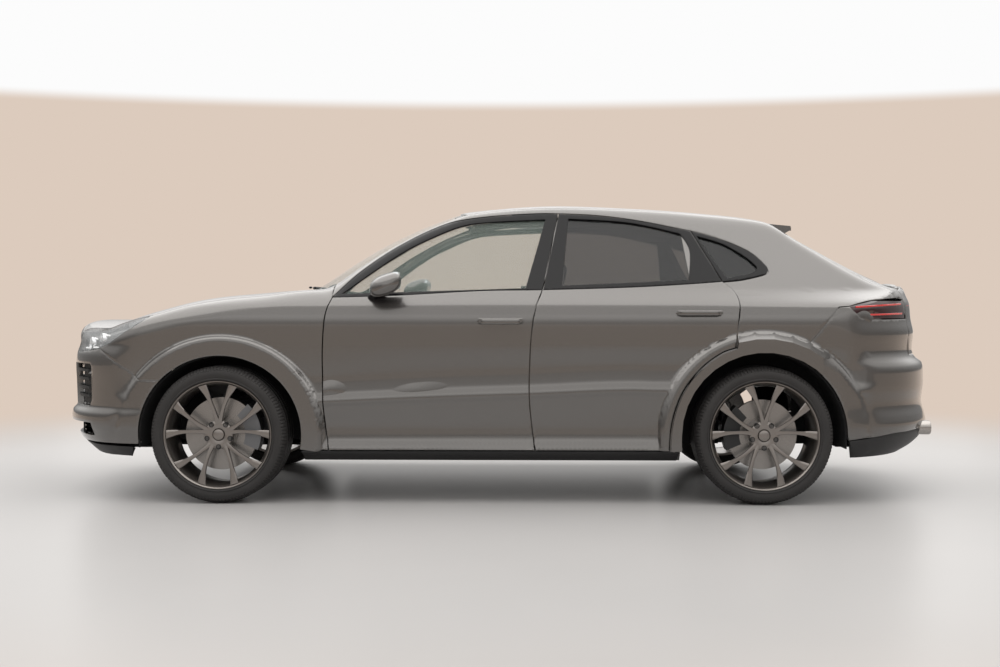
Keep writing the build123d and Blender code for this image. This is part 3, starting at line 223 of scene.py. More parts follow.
SIDE_INSET = smooth_line((225, 118), (288, 52), (328, 71), (345, 75), (400, 77), (560, 66), (592, 60),
                         (640, 73), (710, 76), (850, 64), (960, 61), (1040, 76), (1100, 104),
                         (BELT_Z + 30, 140))
CREASE_SHIFT = smooth_line((-913, -50), (-322, -24), (181, -7), (738, 13), (839, 10))
CAB_INSET = smooth_line((fore(575), 146), (fore(1475), 131), (aft(-400), 138), (aft(0), 165),
                        (aft(400), 222), (aft(800), 330))
HOOD_FRONT_X, WINDSCREEN_BASE_X, HEADER_X = NOSE_X + 78, fore(372), fore(1235)
TAILGATE_X, LIP_X = aft(24), aft(893)
HOOD_BOW, LIP_BOW = 190, -250
HOOD_LINE = smooth_line((NOSE_X, 735), (NOSE_X + 65, 785), (NOSE_X + 196, 836), (NOSE_X + 292, 878),
                        (NOSE_X + 447, 944), (fore(-395), 1000), (fore(-169), 1060), (fore(99), 1108),
                        (fore(375), 1134), (fore(600), 1137))
CAB_LINE = smooth_line((fore(150), 965), (fore(285), 1062), (fore(467), 1189), (fore(668), 1322),
                       (fore(862), 1430), (fore(1104), 1537), (fore(1305), HEIGHT - 35), (fore(1811), HEIGHT),
                       (aft(-630), HEIGHT - 17), (aft(-297), HEIGHT - 42), (aft(52), HEIGHT - 84),
                       (aft(232), 1460), (aft(487), 1337), (aft(706), 1233), (aft(855), 1174),
                       (aft(880), 1179), (aft(905), 1150), (aft(970), 1120))
NOSE_SET_BACK = smooth_line((225, 190), (245, 150), (288, 98), (319, 62), (370, 32), (400, 6), (440, 0),
                            (470, 4), (505, 32), (600, 30), (720, 24), (780, 30), (840, 52))
TAIL_SET_BACK = smooth_line((225, 190), (249, 147), (292, 76), (332, 34), (373, 9), (418, 0), (446, 6),
                            (525, 25), (625, 14), (696, 15), (732, 24), (768, 66), (811, 79), (896, 72),
                            (982, 88), (1061, 96), (1110, 116), (1150, 132))
MIDDLE_HALF = smooth_line((NOSE_X + 100, 590), (fore(-700), 625), (fore(-350), 690), (fore(150), 742),
                          (fore(465), 765), (fore(615), 748), (fore(975), 655), (fore(1275), 600),
                          (fore(1975), 590), (aft(-220), 575), (aft(80), 560), (aft(480), 578),
                          (aft(780), 606), (aft(900), 618))
EDGE_ROUND = smooth_line((NOSE_X + 100, 60), (fore(-300), 95), (fore(300), 80), (fore(900), 55),
                         (aft(-400), 55), (aft(300), 45), (aft(750), 30), (aft(860), 14))
FRONT_ARCH, REAR_ARCH = (fore(6), 438, 422), (aft(0), 438, 441)
FLARE_WIDTH, FLARE_FALL = 72, 1.5
CAB_LEAN = 0.535                # the side windows' lean inward, per millimetre of height
END_HALF, END_LENGTH = 955, 720
NOSE_POWER, TAIL_POWER = 2.6, 2.3
CORNER_ROUND, FLARE_END_ROUND, FLARE_FOOT_ROUND, COWL_ROUND = 18, 12, 10, 45


def side_half_width(x, z):
    """Half width of the sides: drawn in below the belt by height, and leaning inward above it."""
    crease = CREASE_SHIFT(x) * ramp(z, 400, 500) * (1 - ramp(z, 680, 860))
    lower = HALF_WIDTH - SIDE_INSET(z - crease)
    cab = HALF_WIDTH - CAB_INSET(x) - CAB_LEAN * (z - BELT_Z)
    return lower + (cab - lower) * ramp(z, BELT_Z - 90, BELT_Z + 20)


def arch_growth(x, z, arch):
    """How far a place lies outside a wheel opening, measured in the car's side view."""
    middle, half, rise = arch
    up = np.maximum(z - AXLE_Z, 0) / rise
    return (np.hypot((x - middle) / half, up) - 1) * (half + rise) / 2


def flare_field(x, y, z):
    """The raised lips round the wheel openings: a flat band, and a ledge that slopes back above it."""
    growth = np.minimum(arch_growth(x, z, FRONT_ARCH), arch_growth(x, z, REAR_ARCH))
    half = HALF_WIDTH - 2.5 - 0.0014 * (growth - 45) ** 2 - 3 * np.maximum(SILL_TOP_Z - z, 0)
    return np.abs(y) - half + FLARE_FALL * smooth_max(growth - FLARE_WIDTH, 0 * growth, 5)


def top_height(x, y):
    """Height of the hood, with a ridge over each wing, and of the cab, roof and tailgate."""
    bow = 90 * (y / 750) ** 2 * (1 - ramp(x, fore(1175), fore(1575)))
    crown = 38 + 40 * ramp(x, aft(0), aft(600))
    cab = CAB_LINE(x - bow) - crown * (y / 600) ** 2
    ridge = np.exp(-((np.abs(y) - 700) / 170) ** 2) * ramp(x, NOSE_X + 160, NOSE_X + 400)
    fall = 16 * ramp(np.abs(y), 520, 800) * ramp(x, NOSE_X + 300, fore(-300))
    fall = fall * (1 - ramp(x, fore(200), fore(500)))
    hood = HOOD_LINE(x) + 25 * ridge * (1 - ramp(x, fore(-200), fore(300))) - fall
    return smooth_max(hood, cab, COWL_ROUND)


def end_field(x, y, tip, outward):
    """A rounded end of the body in plan."""
    power = NOSE_POWER if outward < 0 else TAIL_POWER
    across = (np.abs(y) / END_HALF) ** power
    along = np.maximum(((x - tip) * outward + END_LENGTH) / END_LENGTH, 0) ** power
    return END_LENGTH * ((across + along) ** (1 / power) - 1)


def skin_field(x, y, z):
    """Negative inside the outer skin and positive outside it, in rough millimetres."""
    sides = np.abs(y) - side_half_width(x, z)
    nose = end_field(x, y, NOSE_X + NOSE_SET_BACK(z), -1)
    tail = end_field(x, y, TAIL_X - TAIL_SET_BACK(z), 1)
    walls = smooth_max(smooth_max(sides, nose, CORNER_ROUND), tail, CORNER_ROUND)
    lips = smooth_max(flare_field(x, y, z), np.maximum(nose, tail), FLARE_END_ROUND)
    walls = -smooth_max(-walls, -lips, FLARE_FOOT_ROUND)
    return smooth_max(walls, z - top_height(x, y), EDGE_ROUND(x))


def crossing(field, inside, outside, halvings=24):
    """Where a field changes sign between an inside and an outside place, by halving."""
    low, high = np.array(inside, float), np.array(outside, float)
    for _ in range(halvings):
        middle = (low + high) / 2
        within = field(middle) < 0
        low, high = np.where(within, middle, low), np.where(within, high, middle)
    return (low + high) / 2


def skin_y(x, z):
    """Half width of the skin at x and z."""
    x, z = np.broadcast_arrays(np.array(x, float), np.array(z, float))
    low = np.full(x.shape, 200.0)
    return crossing(lambda y: skin_field(x, y, z), low, low + 1000)


def skin_z(x, y):
    """Height of the skin at x and y."""
    x, y = np.broadcast_arrays(np.array(x, float), np.array(y, float))
    low = np.full(x.shape, 600.0)
    return crossing(lambda z: skin_field(x, y, z), low, low + 1300)


class SideSkin:
    """The left side in upright planes: square to the car in its middle, and fanned out round both ends.

    A place on it is (run, rise): run is the plane, in millimetres along the car, and rise goes from 0 at
    the foot of the body to 1400 at the edge of the hood, roof or tailgate."""

    front, rear, radius, foot, top, step = fore(-150), aft(250), 800, 226, 1400, (GRID, GRID)

    def __init__(self):
        self.run = np.arange(self.front - 1230, self.rear + 880, 20.0)
        x, along, out = self.plane(self.run)

        def beyond(r):
            at, y = x + along * r, out * r
            hood = HOOD_FRONT_X + HOOD_BOW * (y / BOW_HALF) ** 2 - at
            return np.maximum(np.maximum(y - MIDDLE_HALF(at), hood), at - LIP_X)

        edge = crossing(beyond, 0 * x, 0 * x + 1400)
        top = skin_z(x + along * edge, out * edge)
        low = crossing(lambda r: skin_field(x + along * r, out * r, 0 * r + self.foot), 0 * x + 200,
                       0 * x + 1400)
        # the heart of a plane is the point from which its whole section is seen, by angle
        self.heart_r, self.heart_z = edge - 260, (top + self.foot) / 2
        self.low = np.arctan2(self.foot - self.heart_z, low - self.heart_r)
        self.high = np.arctan2(top - self.heart_z, edge - self.heart_r)

    def plane(self, run):
        turn = (np.maximum(run - self.rear, 0) - np.maximum(self.front - run, 0)) / self.radius
        return np.clip(run, self.front, self.rear), np.sin(turn), np.cos(turn)

    def at(self, run, table):
        return np.interp(run, self.run, table)

    def place(self, x, y, z):
        """(run, rise) of a point of the skin; y is its half width."""
        ahead, behind = np.maximum(self.front - x, 0), np.maximum(x - self.rear, 0)
        run = np.clip(x, self.front, self.rear) + self.radius * (np.arctan2(behind, y) - np.arctan2(ahead, y))
        r = np.hypot(y, ahead + behind)
        angle = np.arctan2(z - self.at(run, self.heart_z), r - self.at(run, self.heart_r))
        low, high = self.at(run, self.low), self.at(run, self.high)
        return np.stack([run, self.top * (angle - low) / (high - low)], -1)

    def by_z(self, points):
        """(run, rise) of (x, z) places on the side."""
        x, z = np.array(points, float).T
        return [tuple(p) for p in self.place(x, skin_y(x, z), z)]

    def by_y(self, points):
        """(run, rise) of (x, y) places on the upper face."""
        x, y = np.array(points, float).T
        return [tuple(p) for p in self.place(x, np.abs(y), skin_z(x, y))]

    def lift(self, places):
        """The points of the skin at (run, rise) places, on the left."""
        run, rise = np.asarray(places, float).T
        x, along, out = self.plane(run)
        low, high = self.at(run, self.low), self.at(run, self.high)
        angle = low + (high - low) * rise / self.top
        heart_r, heart_z = self.at(run, self.heart_r), self.at(run, self.heart_z)

        def point(s):
            r = heart_r + s * np.cos(angle)
            return x + along * r, out * r, heart_z + s * np.sin(angle)

        reach = crossing(lambda s: skin_field(*point(s)), 0 * run, 0 * run + 1300)
        x, y, z = point(reach)
        return np.stack([x, -y, z], 1)


class EndSkin:
    """A rounded end of the car: a place on it is (arc, z), arc round an upright line, 0 in the middle."""

    radius, step = 800, (GRID, GRID)

    def __init__(self, centre_x, outward):
        self.centre_x, self.outward = centre_x, outward

    def by_z(self, points, side=-1):
        x, z = np.array(points, float).T
        arc = np.arctan2(skin_y(x, z), (x - self.centre_x) * self.outward) * self.radius * side
        return list(zip(arc, z))

    def by_y(self, points):
        """(y, z) places near the middle."""
        y, z = np.array(points, float).T
        x = end_x(y, z, self.outward)
        return list(zip(np.arctan2(y, (x - self.centre_x) * self.outward) * self.radius, z))

    def lift(self, places):
        arc, z = np.asarray(places, float).T
        along, out = np.cos(arc / self.radius) * self.outward, np.sin(arc / self.radius)
        reach = crossing(lambda r: skin_field(self.centre_x + along * r, out * r, z), 0 * z + 200,
                         0 * z + 1300)
        return np.stack([self.centre_x + along * reach, out * reach, z], 1)


class TopSkin:
    """The upper face, by (x, y)."""

    step = (GRID, GRID)

    def lift(self, places):
        x, y = np.asarray(places, float).T
        return np.stack([x, y, skin_z(x, y)], 1)


def end_x(y, z, outward):
    """The x of the nose's or tail's skin at y and z."""
    y, z = np.broadcast_arrays(np.array(y, float), np.array(z, float))
    start = np.full(y.shape, outward * 1500.0)
    return crossing(lambda x: skin_field(x, y, z), start, start + outward * 1100)


# ---- body panels ----------------------------------------------------------------------------------
# Hood, wings, doors, sides, roof, tailgate and bumper covers, pressed or moulded and painted alike.
# Each is a fine sheet on the outer skin, given a wall inward and a rounded edge.
SEAM = 7                        # the gap between two panels
MM = 0.001                      # metres in a millimetre
PANEL_LIFT = 0.0045             # a panel's face stands this far, in metres, outside the shape
ACROSS = Matrix.Diagonal((1, -1, 1, 1))          # mirrors a mesh across the car's middle


def curve(*points, step=12):
    """Points along a smooth curve through the given ones."""
    p = np.array([points[0], *points, points[-1]], float)
    made = []
    for k in range(1, len(p) - 2):
        count = max(2, math.ceil(np.linalg.norm(p[k + 1] - p[k]) / step))
        for t in np.arange(count) / count:
            made.append(0.5 * (2 * p[k] + (p[k + 1] - p[k - 1]) * t
                               + (2 * p[k - 1] - 5 * p[k] + 4 * p[k + 1] - p[k + 2]) * t ** 2
                               + (3 * p[k] - p[k - 1] - 3 * p[k + 1] + p[k + 2]) * t ** 3))
    return [tuple(q) for q in made] + [tuple(points[-1])]


def straight(start, end, step=12):
    """Points along a straight run."""
    count = max(1, math.ceil(math.dist(start, end) / step))
    return [tuple(np.array(start) + (np.array(end) - np.array(start)) * k / count) for k in range(count + 1)]


def shifted(points, dx=0, dz=0):
    return [(x + dx, z + dz) for x, z in points]


def ring_of(*runs):
    """A closed outline out of runs of points, joined by straight runs, without doubled points."""
    joined = []
    for run in runs:
        if joined and math.dist(joined[-1], run[0]) > 14:
            joined += straight(joined[-1], run[0])[1:-1]
        joined += list(run)
    if math.dist(joined[-1], joined[0]) > 14:
        joined += straight(joined[-1], joined[0])[1:-1]
    kept = []
    for p in joined:
        if not kept or math.dist(kept[-1], p) > 0.5:
            kept.append(tuple(p))
    return kept[:-1] if math.dist(kept[0], kept[-1]) < 0.5 else kept


def within(places, outline):
    """Which places lie inside a closed outline."""
    x, y = places.T
    inside = np.zeros(len(places), bool)
    for (a, b), (c, d) in zip(outline, outline[1:] + outline[:1]):
        if b != d:
            inside ^= ((b > y) != (d > y)) & (x < (c - a) * (y - b) / (d - b) + a)
    return inside


def in_sheet(places, rings):
    """Which places lie inside the first ring and outside the others."""
    outline, *holes = [[tuple(p) for p in ring] for ring in rings]
    inside = within(places, outline)
    for hole in holes:
        inside &= ~within(places, hole)
    return inside


def sheet_mesh(name, skin, outline, holes=(), lines=()):
    """A fine sheet on a skin, inside an outline and outside its holes, with edges along given lines."""
    scale = 1 / np.array(skin.step)
    rings = [np.array(r) * scale for r in (outline, *holes)]
    tracks = [np.array(t) * scale for t in lines]
    low, high = rings[0].min(0), rings[0].max(0)
    columns = np.arange(low[0], high[0] + 1)
    nodes = np.array([(a, b) for k, a in enumerate(columns)
                      for b in np.arange(low[1] - (0.5 if k % 2 else 0), high[1] + 1)])
    nodes = nodes[in_sheet(nodes, rings)]
    fixed = [np.array(r)[k] for r in rings + tracks for k in range(len(r))]
    bins = {}
    for p in fixed:
        bins.setdefault((int(p[0] // 1), int(p[1] // 1)), []).append(p)
    free = []
    # a grid point nearer than 0.6 of a cell to an edge or a line is left out, so that no sliver forms
    for p in nodes:
        a, b = int(p[0] // 1), int(p[1] // 1)
        close = (q for i in (-1, 0, 1) for j in (-1, 0, 1) for q in bins.get((a + i, b + j), ()))
        if all((p[0] - q[0]) ** 2 + (p[1] - q[1]) ** 2 > 0.6 ** 2 for q in close):
            free.append(p)
    points, edges = [], []
    for ring in rings:
        base = len(points)
        points += list(ring)
        edges += [(base + k, base + (k + 1) % len(ring)) for k in range(len(ring))]
    for track in tracks:
        base = len(points)
        points += list(track)
        edges += [(base + k, base + k + 1) for k in range(len(track) - 1)]
    flat = [Vector(p) for p in points + free]
    verts, _, faces, *_ = delaunay_2d_cdt(flat, edges, [], 0, 1e-5)
    places = np.array([tuple(v) for v in verts])
    middles = np.array([places[list(f)].mean(0) for f in faces])
    kept = [tuple(f) for f, inside in zip(faces, in_sheet(middles, rings)) if inside]
    made = bpy.data.meshes.new(name)
    made.from_pydata((skin.lift(places / scale) * MM).tolist(), [], kept)
    made.validate()
    work = bmesh.new()
    work.from_mesh(made)
    bmesh.ops.delete(work, geom=[v for v in work.verts if not v.link_faces], context="VERTS")
    bmesh.ops.remove_doubles(work, verts=work.verts, dist=2e-5)
    bmesh.ops.recalc_face_normals(work, faces=work.faces)
    work.to_mesh(made)
    work.free()
    # one face tells whether the whole sheet looks away from the middle of the car
    face = made.polygons[len(made.polygons) // 2]
    heart = Vector((min(max(face.center.x, -1.6), 1.6), 0, 0.7))
    if face.normal.dot(face.center - heart) < 0:
        made.flip_normals()
    return made


def mirrored(made):
    """The mirror image across the car's middle, with its faces still outward."""
    other = made.copy()
    other.transform(ACROSS)
    other.flip_normals()
    return other


def pushed(made, depth):
    """A copy of a sheet moved outward by depth along its normals."""
    made = made.copy()
    normals = [v.normal.copy() for v in made.vertices]
    for vert, normal in zip(made.vertices, normals):
        vert.co += normal * depth
    return made


def plain_mesh(piece, smooth=40):
    """Applies a piece's modifiers into a plain mesh."""
    bpy.context.view_layer.update()
    finished = bpy.data.meshes.new_from_object(piece.evaluated_get(bpy.context.evaluated_depsgraph_get()))
    piece.modifiers.clear()
    piece.data = finished
    finished.shade_smooth()
    finished.set_sharp_from_angle(angle=math.radians(smooth))
    return piece


def panel(name, sheet, material, body, slot, wall=0.02, edge=0.0018, lift=PANEL_LIFT):
    """A panel of a body: a sheet on the skin, thickened inward, with a rounded edge all round."""
    sheet = pushed(sheet, lift)
    sheet.materials.append(material)
    piece = bpy.data.objects.new(name, sheet)
    bpy.context.scene.collection.objects.link(piece)
    solid = piece.modifiers.new("wall", "SOLIDIFY")
    solid.thickness = wall
    solid.offset = -1
    if edge:
        bevel = piece.modifiers.new("edge", "BEVEL")
        bevel.width = edge
        bevel.segments = 2
        bevel.limit_method = "ANGLE"
        bevel.angle_limit = math.radians(60)
    plain_mesh(piece)
    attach(piece, body)
    return piece


def panel_pair(name, sheet, material, body, slot, **shape):
    """The left piece and its mirror image; body may hold {side}."""
    return [panel(f"{name}_{side}", made, material, body.format(side=side), slot, **shape)
            for side, made in (("left", sheet), ("right", mirrored(sheet)))]


TAILGATE_LOW_Z, TAILGATE_HALF = 786, 611
side_skin = SideSkin()
nose_skin, tail_skin, top_skin = EndSkin(fore(0), -1), EndSkin(aft(0), 1), TopSkin()


def part_of(path, low, high, axis=0):
    """The stretch of a path between two values of one coordinate that keeps rising or falling."""
    p = np.array(path, float)
    order = np.argsort(p[:, axis])
    low_end, high_end = ([float(np.interp(v, p[order, axis], p[order, k])) for k in (0, 1)]
                         for v in (low, high))
    inner = [tuple(q) for q in p if low < q[axis] < high]
    first, last = (low_end, high_end) if p[0, axis] < p[-1, axis] else (high_end, low_end)
    return [tuple(first), *inner, tuple(last)]


def arch_line(arch, growth, start, end):
    """Points round a wheel opening in x and z, growth outside it, by degrees from its front."""
    middle, half, rise = arch
    k = 1 + 2 * growth / (half + rise)
    turns = np.radians(np.linspace(start, end, round(abs(end - start) / 1.6) + 1))
    return [(middle - half * k * min(math.cos(t), 1),
             AXLE_Z + (rise * k if 0 < t < math.pi else half) * math.sin(t)) for t in turns]


def bow(front_x, depth, half, shift=0):
    """A bowed edge across the car in plan, from left to right."""
    return [(front_x + shift + depth * (y / BOW_HALF) ** 2, y)
            for y in np.linspace(-half, half, round(half / 6))]


def edge_line(x_from, x_to, inset, side=-1):
    """The line where the upper panels meet the sides, in plan."""
    return [(x, side * (float(MIDDLE_HALF(x)) - inset))
            for x in np.linspace(x_from, x_to, max(2, round(abs(x_to - x_from) / 12)))]


def meeting(front_x, depth, inset, half=650):
    """Half width at which a bowed edge meets the line of the sides."""
    for _ in range(12):
        half = float(MIDDLE_HALF(front_x + depth * (half / BOW_HALF) ** 2)) - inset
    return half


def top_outline(front, rear, inset):
    """Plan outline of an upper panel between two bowed edges, each (x, depth of its bow)."""
    first, last = meeting(*front, inset), meeting(*rear, inset)
    x_first = front[0] + front[1] * (first / BOW_HALF) ** 2
    x_last = rear[0] + rear[1] * (last / BOW_HALF) ** 2
    return ring_of(bow(*front, first), edge_line(x_first, x_last, inset, 1), bow(*rear, last)[::-1],
                   edge_line(x_last, x_first, inset))


def by_end(points, outward):
    """(y, z) places of the nose or tail as places of the side skin."""
    y, z = np.array(points, float).T
    return [tuple(p) for p in side_skin.place(end_x(y, z, outward), y, z)]


def by_top(skin, points):
    """(x, y) places of the upper face as (arc, z) places of an end skin."""
    x, y = np.array(points, float).T
    return list(zip(np.arctan2(y, (x - skin.centre_x) * skin.outward) * skin.radius, skin_z(x, y)))


def opposite(points):
    """The same (arc, z) places on the other side of the car's middle."""
    return [(-arc, z) for arc, z in points]


def whole(half):
    """An outline from its right half, which runs from the middle below to the middle above."""
    return ring_of(half, opposite(half[::-1]))


def flare_creases(arch, start, end):
    """Lines that keep the outer edge of a wheel opening's lip sharp in a sheet of the side."""
    return [side_skin.by_z(arch_line(arch, FLARE_WIDTH + shift, start, end)) for shift in (-6, 0, 6)]


B_LINE = curve((fore(1686), SILL_TOP_Z), (fore(1671), 396), (fore(1656), 548), (fore(1656), 700),
               (fore(1666), 903), (fore(1691), 1046), (fore(1728), 1143), (fore(1765), 1316),
               (fore(1815), 1556))
B_AHEAD, B_BEHIND = shifted(B_LINE, -SEAM / 2), shifted(B_LINE, SEAM / 2)
DOOR_FRONT = curve((fore(590), SILL_TOP_Z), (fore(562), 500), (fore(556), 700), (fore(558), 852),
                   (fore(572), 1005), (fore(604), 1091))
BELT = curve((fore(604), 1091), (-532, 1102), (-80, 1127), (253, 1132), (701, 1145), (1027, 1163),
             (1214, 1177))
WINDOW_TOP = curve((fore(604), 1097), (-764, 1204), (-636, 1304), (-505, 1388), (-372, 1458), (-236, 1510),
                   (-48, 1539), (186, 1555), (340, 1556), (552, 1546), (763, 1519), (971, 1477), (1136, 1439),
                   (1278, 1390), (1377, 1342), (1429, 1299), (1467, 1256))
WINDOW_TAIL = curve((1467, 1256), (1466, 1232), (1443, 1216), (1319, 1188), (1214, 1177), step=8)
REAR_DOOR_BACK = curve((1214, 1177), (aft(-149), 1126), (aft(-129), 1070), (aft(-134), 990), (aft(-154), 833))
REAR_DOOR_FOOT = curve((aft(-154), 833), (aft(-229), 806), (aft(-329), 732), (aft(-420), 621),
                       (aft(-470), 509), (aft(-495), 398), (aft(-501), SILL_TOP_Z))
LAMP_FOOT = curve((-2214, 809), (-2138, 823), (-2061, 858), (-1991, 905), (-1933, 940), (-1876, 978),
                  (-1852, 1000))
LAMP_CROWN = curve((-1846, 866), (-1930, 832), (-2045, 760), (-2125, 680), (-2190, 606))
BUMPER_SEAM = [*straight((-1789, 655), (-1895, 655))[:-1], *straight((-1895, 655), (-2140, 822))]
QUARTER_SEAM = straight((1592, 780), (1816, 1046))
TAIL_LAMP_CROWN = curve((1868, 1049), (2004, 1081), (2197, 1096))
TAIL_LAMP_FOOT = curve((2225, 983), (1964, 983), (1909, 1011), (1868, 1049))

# doors, below their windows
front_door = side_skin.by_z(ring_of(DOOR_FRONT, part_of(BELT, fore(604), fore(1719)),
                                    part_of(B_AHEAD, SILL_TOP_Z, 1130, 1)[::-1]))
rear_door = side_skin.by_z(ring_of(part_of(B_BEHIND, SILL_TOP_Z, 1132, 1), part_of(BELT, fore(1727), 1213),
                                   REAR_DOOR_BACK, REAR_DOOR_FOOT))
DOOR_LIFT = 0.0075              # more than other panels, to cover the doors within
for place, border in (("front", front_door), ("rear", rear_door)):
    panel_pair(f"{place}_door_skin", sheet_mesh("door", side_skin, border), paint, f"{place}_door_{{side}}",
               "paint", wall=0.026, lift=DOOR_LIFT)

# wings, round the front wheels
wing = ring_of(side_skin.by_z(BUMPER_SEAM), side_skin.by_z(LAMP_FOOT[8:]), side_skin.by_y(LAMP_CROWN),
               side_skin.by_y(edge_line(-2186, fore(604) - 5, -1)),
               side_skin.by_z(shifted(DOOR_FRONT, -SEAM)[::-1]),
               side_skin.by_z(arch_line(FRONT_ARCH, 0, 190, 43)))
wing_sheet = sheet_mesh("wing", side_skin, wing, lines=flare_creases(FRONT_ARCH, 44, 176))
wings = panel_pair("front_wing", wing_sheet, paint, "body", "paint", wall=0.018)
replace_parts(wings[0], "front_fenders")

# body sides: windscreen pillars, roof rails, quarters and rear corners
corner_y = TAILGATE_HALF + 6
corner_x = LIP_X - 4 + LIP_BOW * (corner_y / BOW_HALF) ** 2
corner_top = float(skin_z(corner_x, corner_y))
quarter = ring_of(side_skin.by_z(shifted(WINDOW_TOP, -3, 4)),
                  side_skin.by_z(shifted(WINDOW_TAIL, 4, -3)[3:-2]),
                  side_skin.by_z(shifted(REAR_DOOR_BACK, SEAM, -4)),
                  side_skin.by_z(shifted(REAR_DOOR_FOOT, 5, -5)[1:]),
                  side_skin.by_z(arch_line(REAR_ARCH, 0, -10, 113)), side_skin.by_z(QUARTER_SEAM),
                  side_skin.by_z(TAIL_LAMP_CROWN),
                  by_end([(720, 1091), (corner_y, 1086), (corner_y, corner_top - 12)], 1),
                  side_skin.by_y(edge_line(corner_x, fore(604) + 4, -1)))
quarter_sheet = sheet_mesh("quarter", side_skin, quarter, lines=flare_creases(REAR_ARCH, 2, 112))
panel_pair("quarter_panel", quarter_sheet, paint, "body", "paint", wall=0.006)

# hood, roof and tailgate
hood = sheet_mesh("hood", top_skin,
                  top_outline((HOOD_FRONT_X, HOOD_BOW), (WINDSCREEN_BASE_X - 42, 178), SEAM / 2))
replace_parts(panel("hood_skin", hood, paint, "hood", "paint", wall=0.024), "hood")
roof_window = ring_of(bow(fore(1440), 60, 470), [(aft(-180), 458), (aft(-180), -458)])
roof = sheet_mesh("roof", top_skin, top_outline((HEADER_X + 12, 150), (TAILGATE_X - SEAM, 0), 0),
                  [roof_window])
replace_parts(panel("roof_skin", roof, paint, "body", "paint", wall=0.012), "roof_panel")
glass_from, glass_to = aft(215), aft(838)
tail_glass = ring_of(edge_line(glass_from, glass_to, 62), edge_line(glass_to, glass_from, 62, 1))
lid = sheet_mesh("lid", top_skin, top_outline((TAILGATE_X, 0), (LIP_X, LIP_BOW), SEAM / 2), [tail_glass])
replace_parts(panel("tailgate_frame", lid, paint, "tailgate", "paint", wall=0.02), "tailgate_panel")
lip_line = [(x, y) for x, y in bow(LIP_X, LIP_BOW, TAILGATE_HALF, 5) if y > 0]
lower = whole([(0, TAILGATE_LOW_Z), *tail_skin.by_y([(TAILGATE_HALF, TAILGATE_LOW_Z)]),
               *by_top(tail_skin, lip_line[::-1])])
panel("tailgate_skin", sheet_mesh("lower", tail_skin, lower), paint, "tailgate", "paint", wall=0.02)

# bumper covers
BUMPER_FOOT_Z = 316
arch = [p for p in nose_skin.by_z(arch_line(FRONT_ARCH, 0, -10, 43), 1) if p[1] > BUMPER_FOOT_Z]
crown = [(x, y) for x, y in bow(HOOD_FRONT_X, HOOD_BOW, meeting(HOOD_FRONT_X, HOOD_BOW, 2), -SEAM) if y > 0]
front_cover = whole([(0, BUMPER_FOOT_Z),
                     *nose_skin.by_z([(arch_line(FRONT_ARCH, 0, 0, 1)[0][0], BUMPER_FOOT_Z)], 1), *arch,
                     *nose_skin.by_z(shifted(BUMPER_SEAM, 0, -1)[1:] + shifted(LAMP_FOOT, 0, -1)[7::-1], 1),
                     *nose_skin.by_y([(680, 797), (600, 792)]), *by_top(nose_skin, crown[::-1])])
side_intake = ring_of(nose_skin.by_y([(520, 510), (520, 738)]),
                      nose_skin.by_z([(-2206, 738), (-2196, 722), (-2196, 540),
                                      (-2214, 510)], 1))
low_intake = whole([(0, 350), *nose_skin.by_z([(-2180, 350), (-2196, 420)], 1), (0, 428)])
middle_intake = whole([(0, 560), *nose_skin.by_y([(430, 560), (440, 700)]), (0, 700)])
holes = [side_intake, opposite(side_intake), low_intake, middle_intake]
crease = nose_skin.by_z(arch_line(FRONT_ARCH, FLARE_WIDTH, -8, 36), 1)
cover = sheet_mesh("cover", nose_skin, front_cover, holes, [crease, opposite(crease)])
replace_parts(panel("front_bumper_cover", cover, paint, "body", "paint", wall=0.035), "front_bumper")

arch = tail_skin.by_z(arch_line(REAR_ARCH, 0, 180, 113), 1)
rear_foot = [*tail_skin.by_y([(450, 392)]), *tail_skin.by_z([(2124, 374), (1862, 343)], 1)]
rear_cover = whole([(0, 392), *rear_foot, *arch[1:], *tail_skin.by_z(shifted(QUARTER_SEAM, 3, -3), 1),
                    *tail_skin.by_z(shifted(TAIL_LAMP_FOOT, 2, -3)[::-1], 1),
                    *tail_skin.by_y([(corner_y, 980), (corner_y, TAILGATE_LOW_Z - SEAM)]),
                    (0, TAILGATE_LOW_Z - SEAM)])
crease = tail_skin.by_z(arch_line(REAR_ARCH, FLARE_WIDTH, 176, 112), 1)
cover = sheet_mesh("cover", tail_skin, rear_cover, (), [crease, opposite(crease)])
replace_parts(panel("rear_bumper_cover", cover, paint, "body", "paint", wall=0.035), "rear_bumper")

# ---- tyres ----------------------------------------------------------------------------------------
# Low-profile road tyres of black rubber, moulded with four straight grooves, cross cuts over both
# shoulders, a rim guard and plain sidewalls; they are pressed on over the rims' flanges.
# From here on, sizes are in metres; places on the skins stay in millimetres.
FRONT_AXLE_X, REAR_AXLE_X = FRONT_AXLE * MM, REAR_AXLE * MM
TYRE_RADIUS = AXLE_Z * MM
RIM_RADIUS = 0.287
FRONT_TYRE, REAR_TYRE = 0.285, 0.315
WHEEL_FACE_Y = 0.975
BULGE = 0.005                   # how far a sidewall stands past the wheel's face


def grid_mesh(name, rows, wrap_rows=False, wrap_columns=False, caps=False):
    """A mesh over rows of points; rows and columns may close on themselves, and end rows may be capped."""
    rows = np.asarray(rows, float)
    count, width = rows.shape[:2]
    faces = []
    for i in range(count if wrap_rows else count - 1):
        for j in range(width if wrap_columns else width - 1):
            a, b = i * width + j, i * width + (j + 1) % width
            step = (i + 1) % count * width
            faces.append((a, b, step + (j + 1) % width, step + j))
    if caps:
        faces.append(tuple(range(width))[::-1])
        faces.append(tuple(range((count - 1) * width, count * width)))
    made = bpy.data.meshes.new(name)
    made.from_pydata(rows.reshape(-1, 3).tolist(), [], faces)
    return made


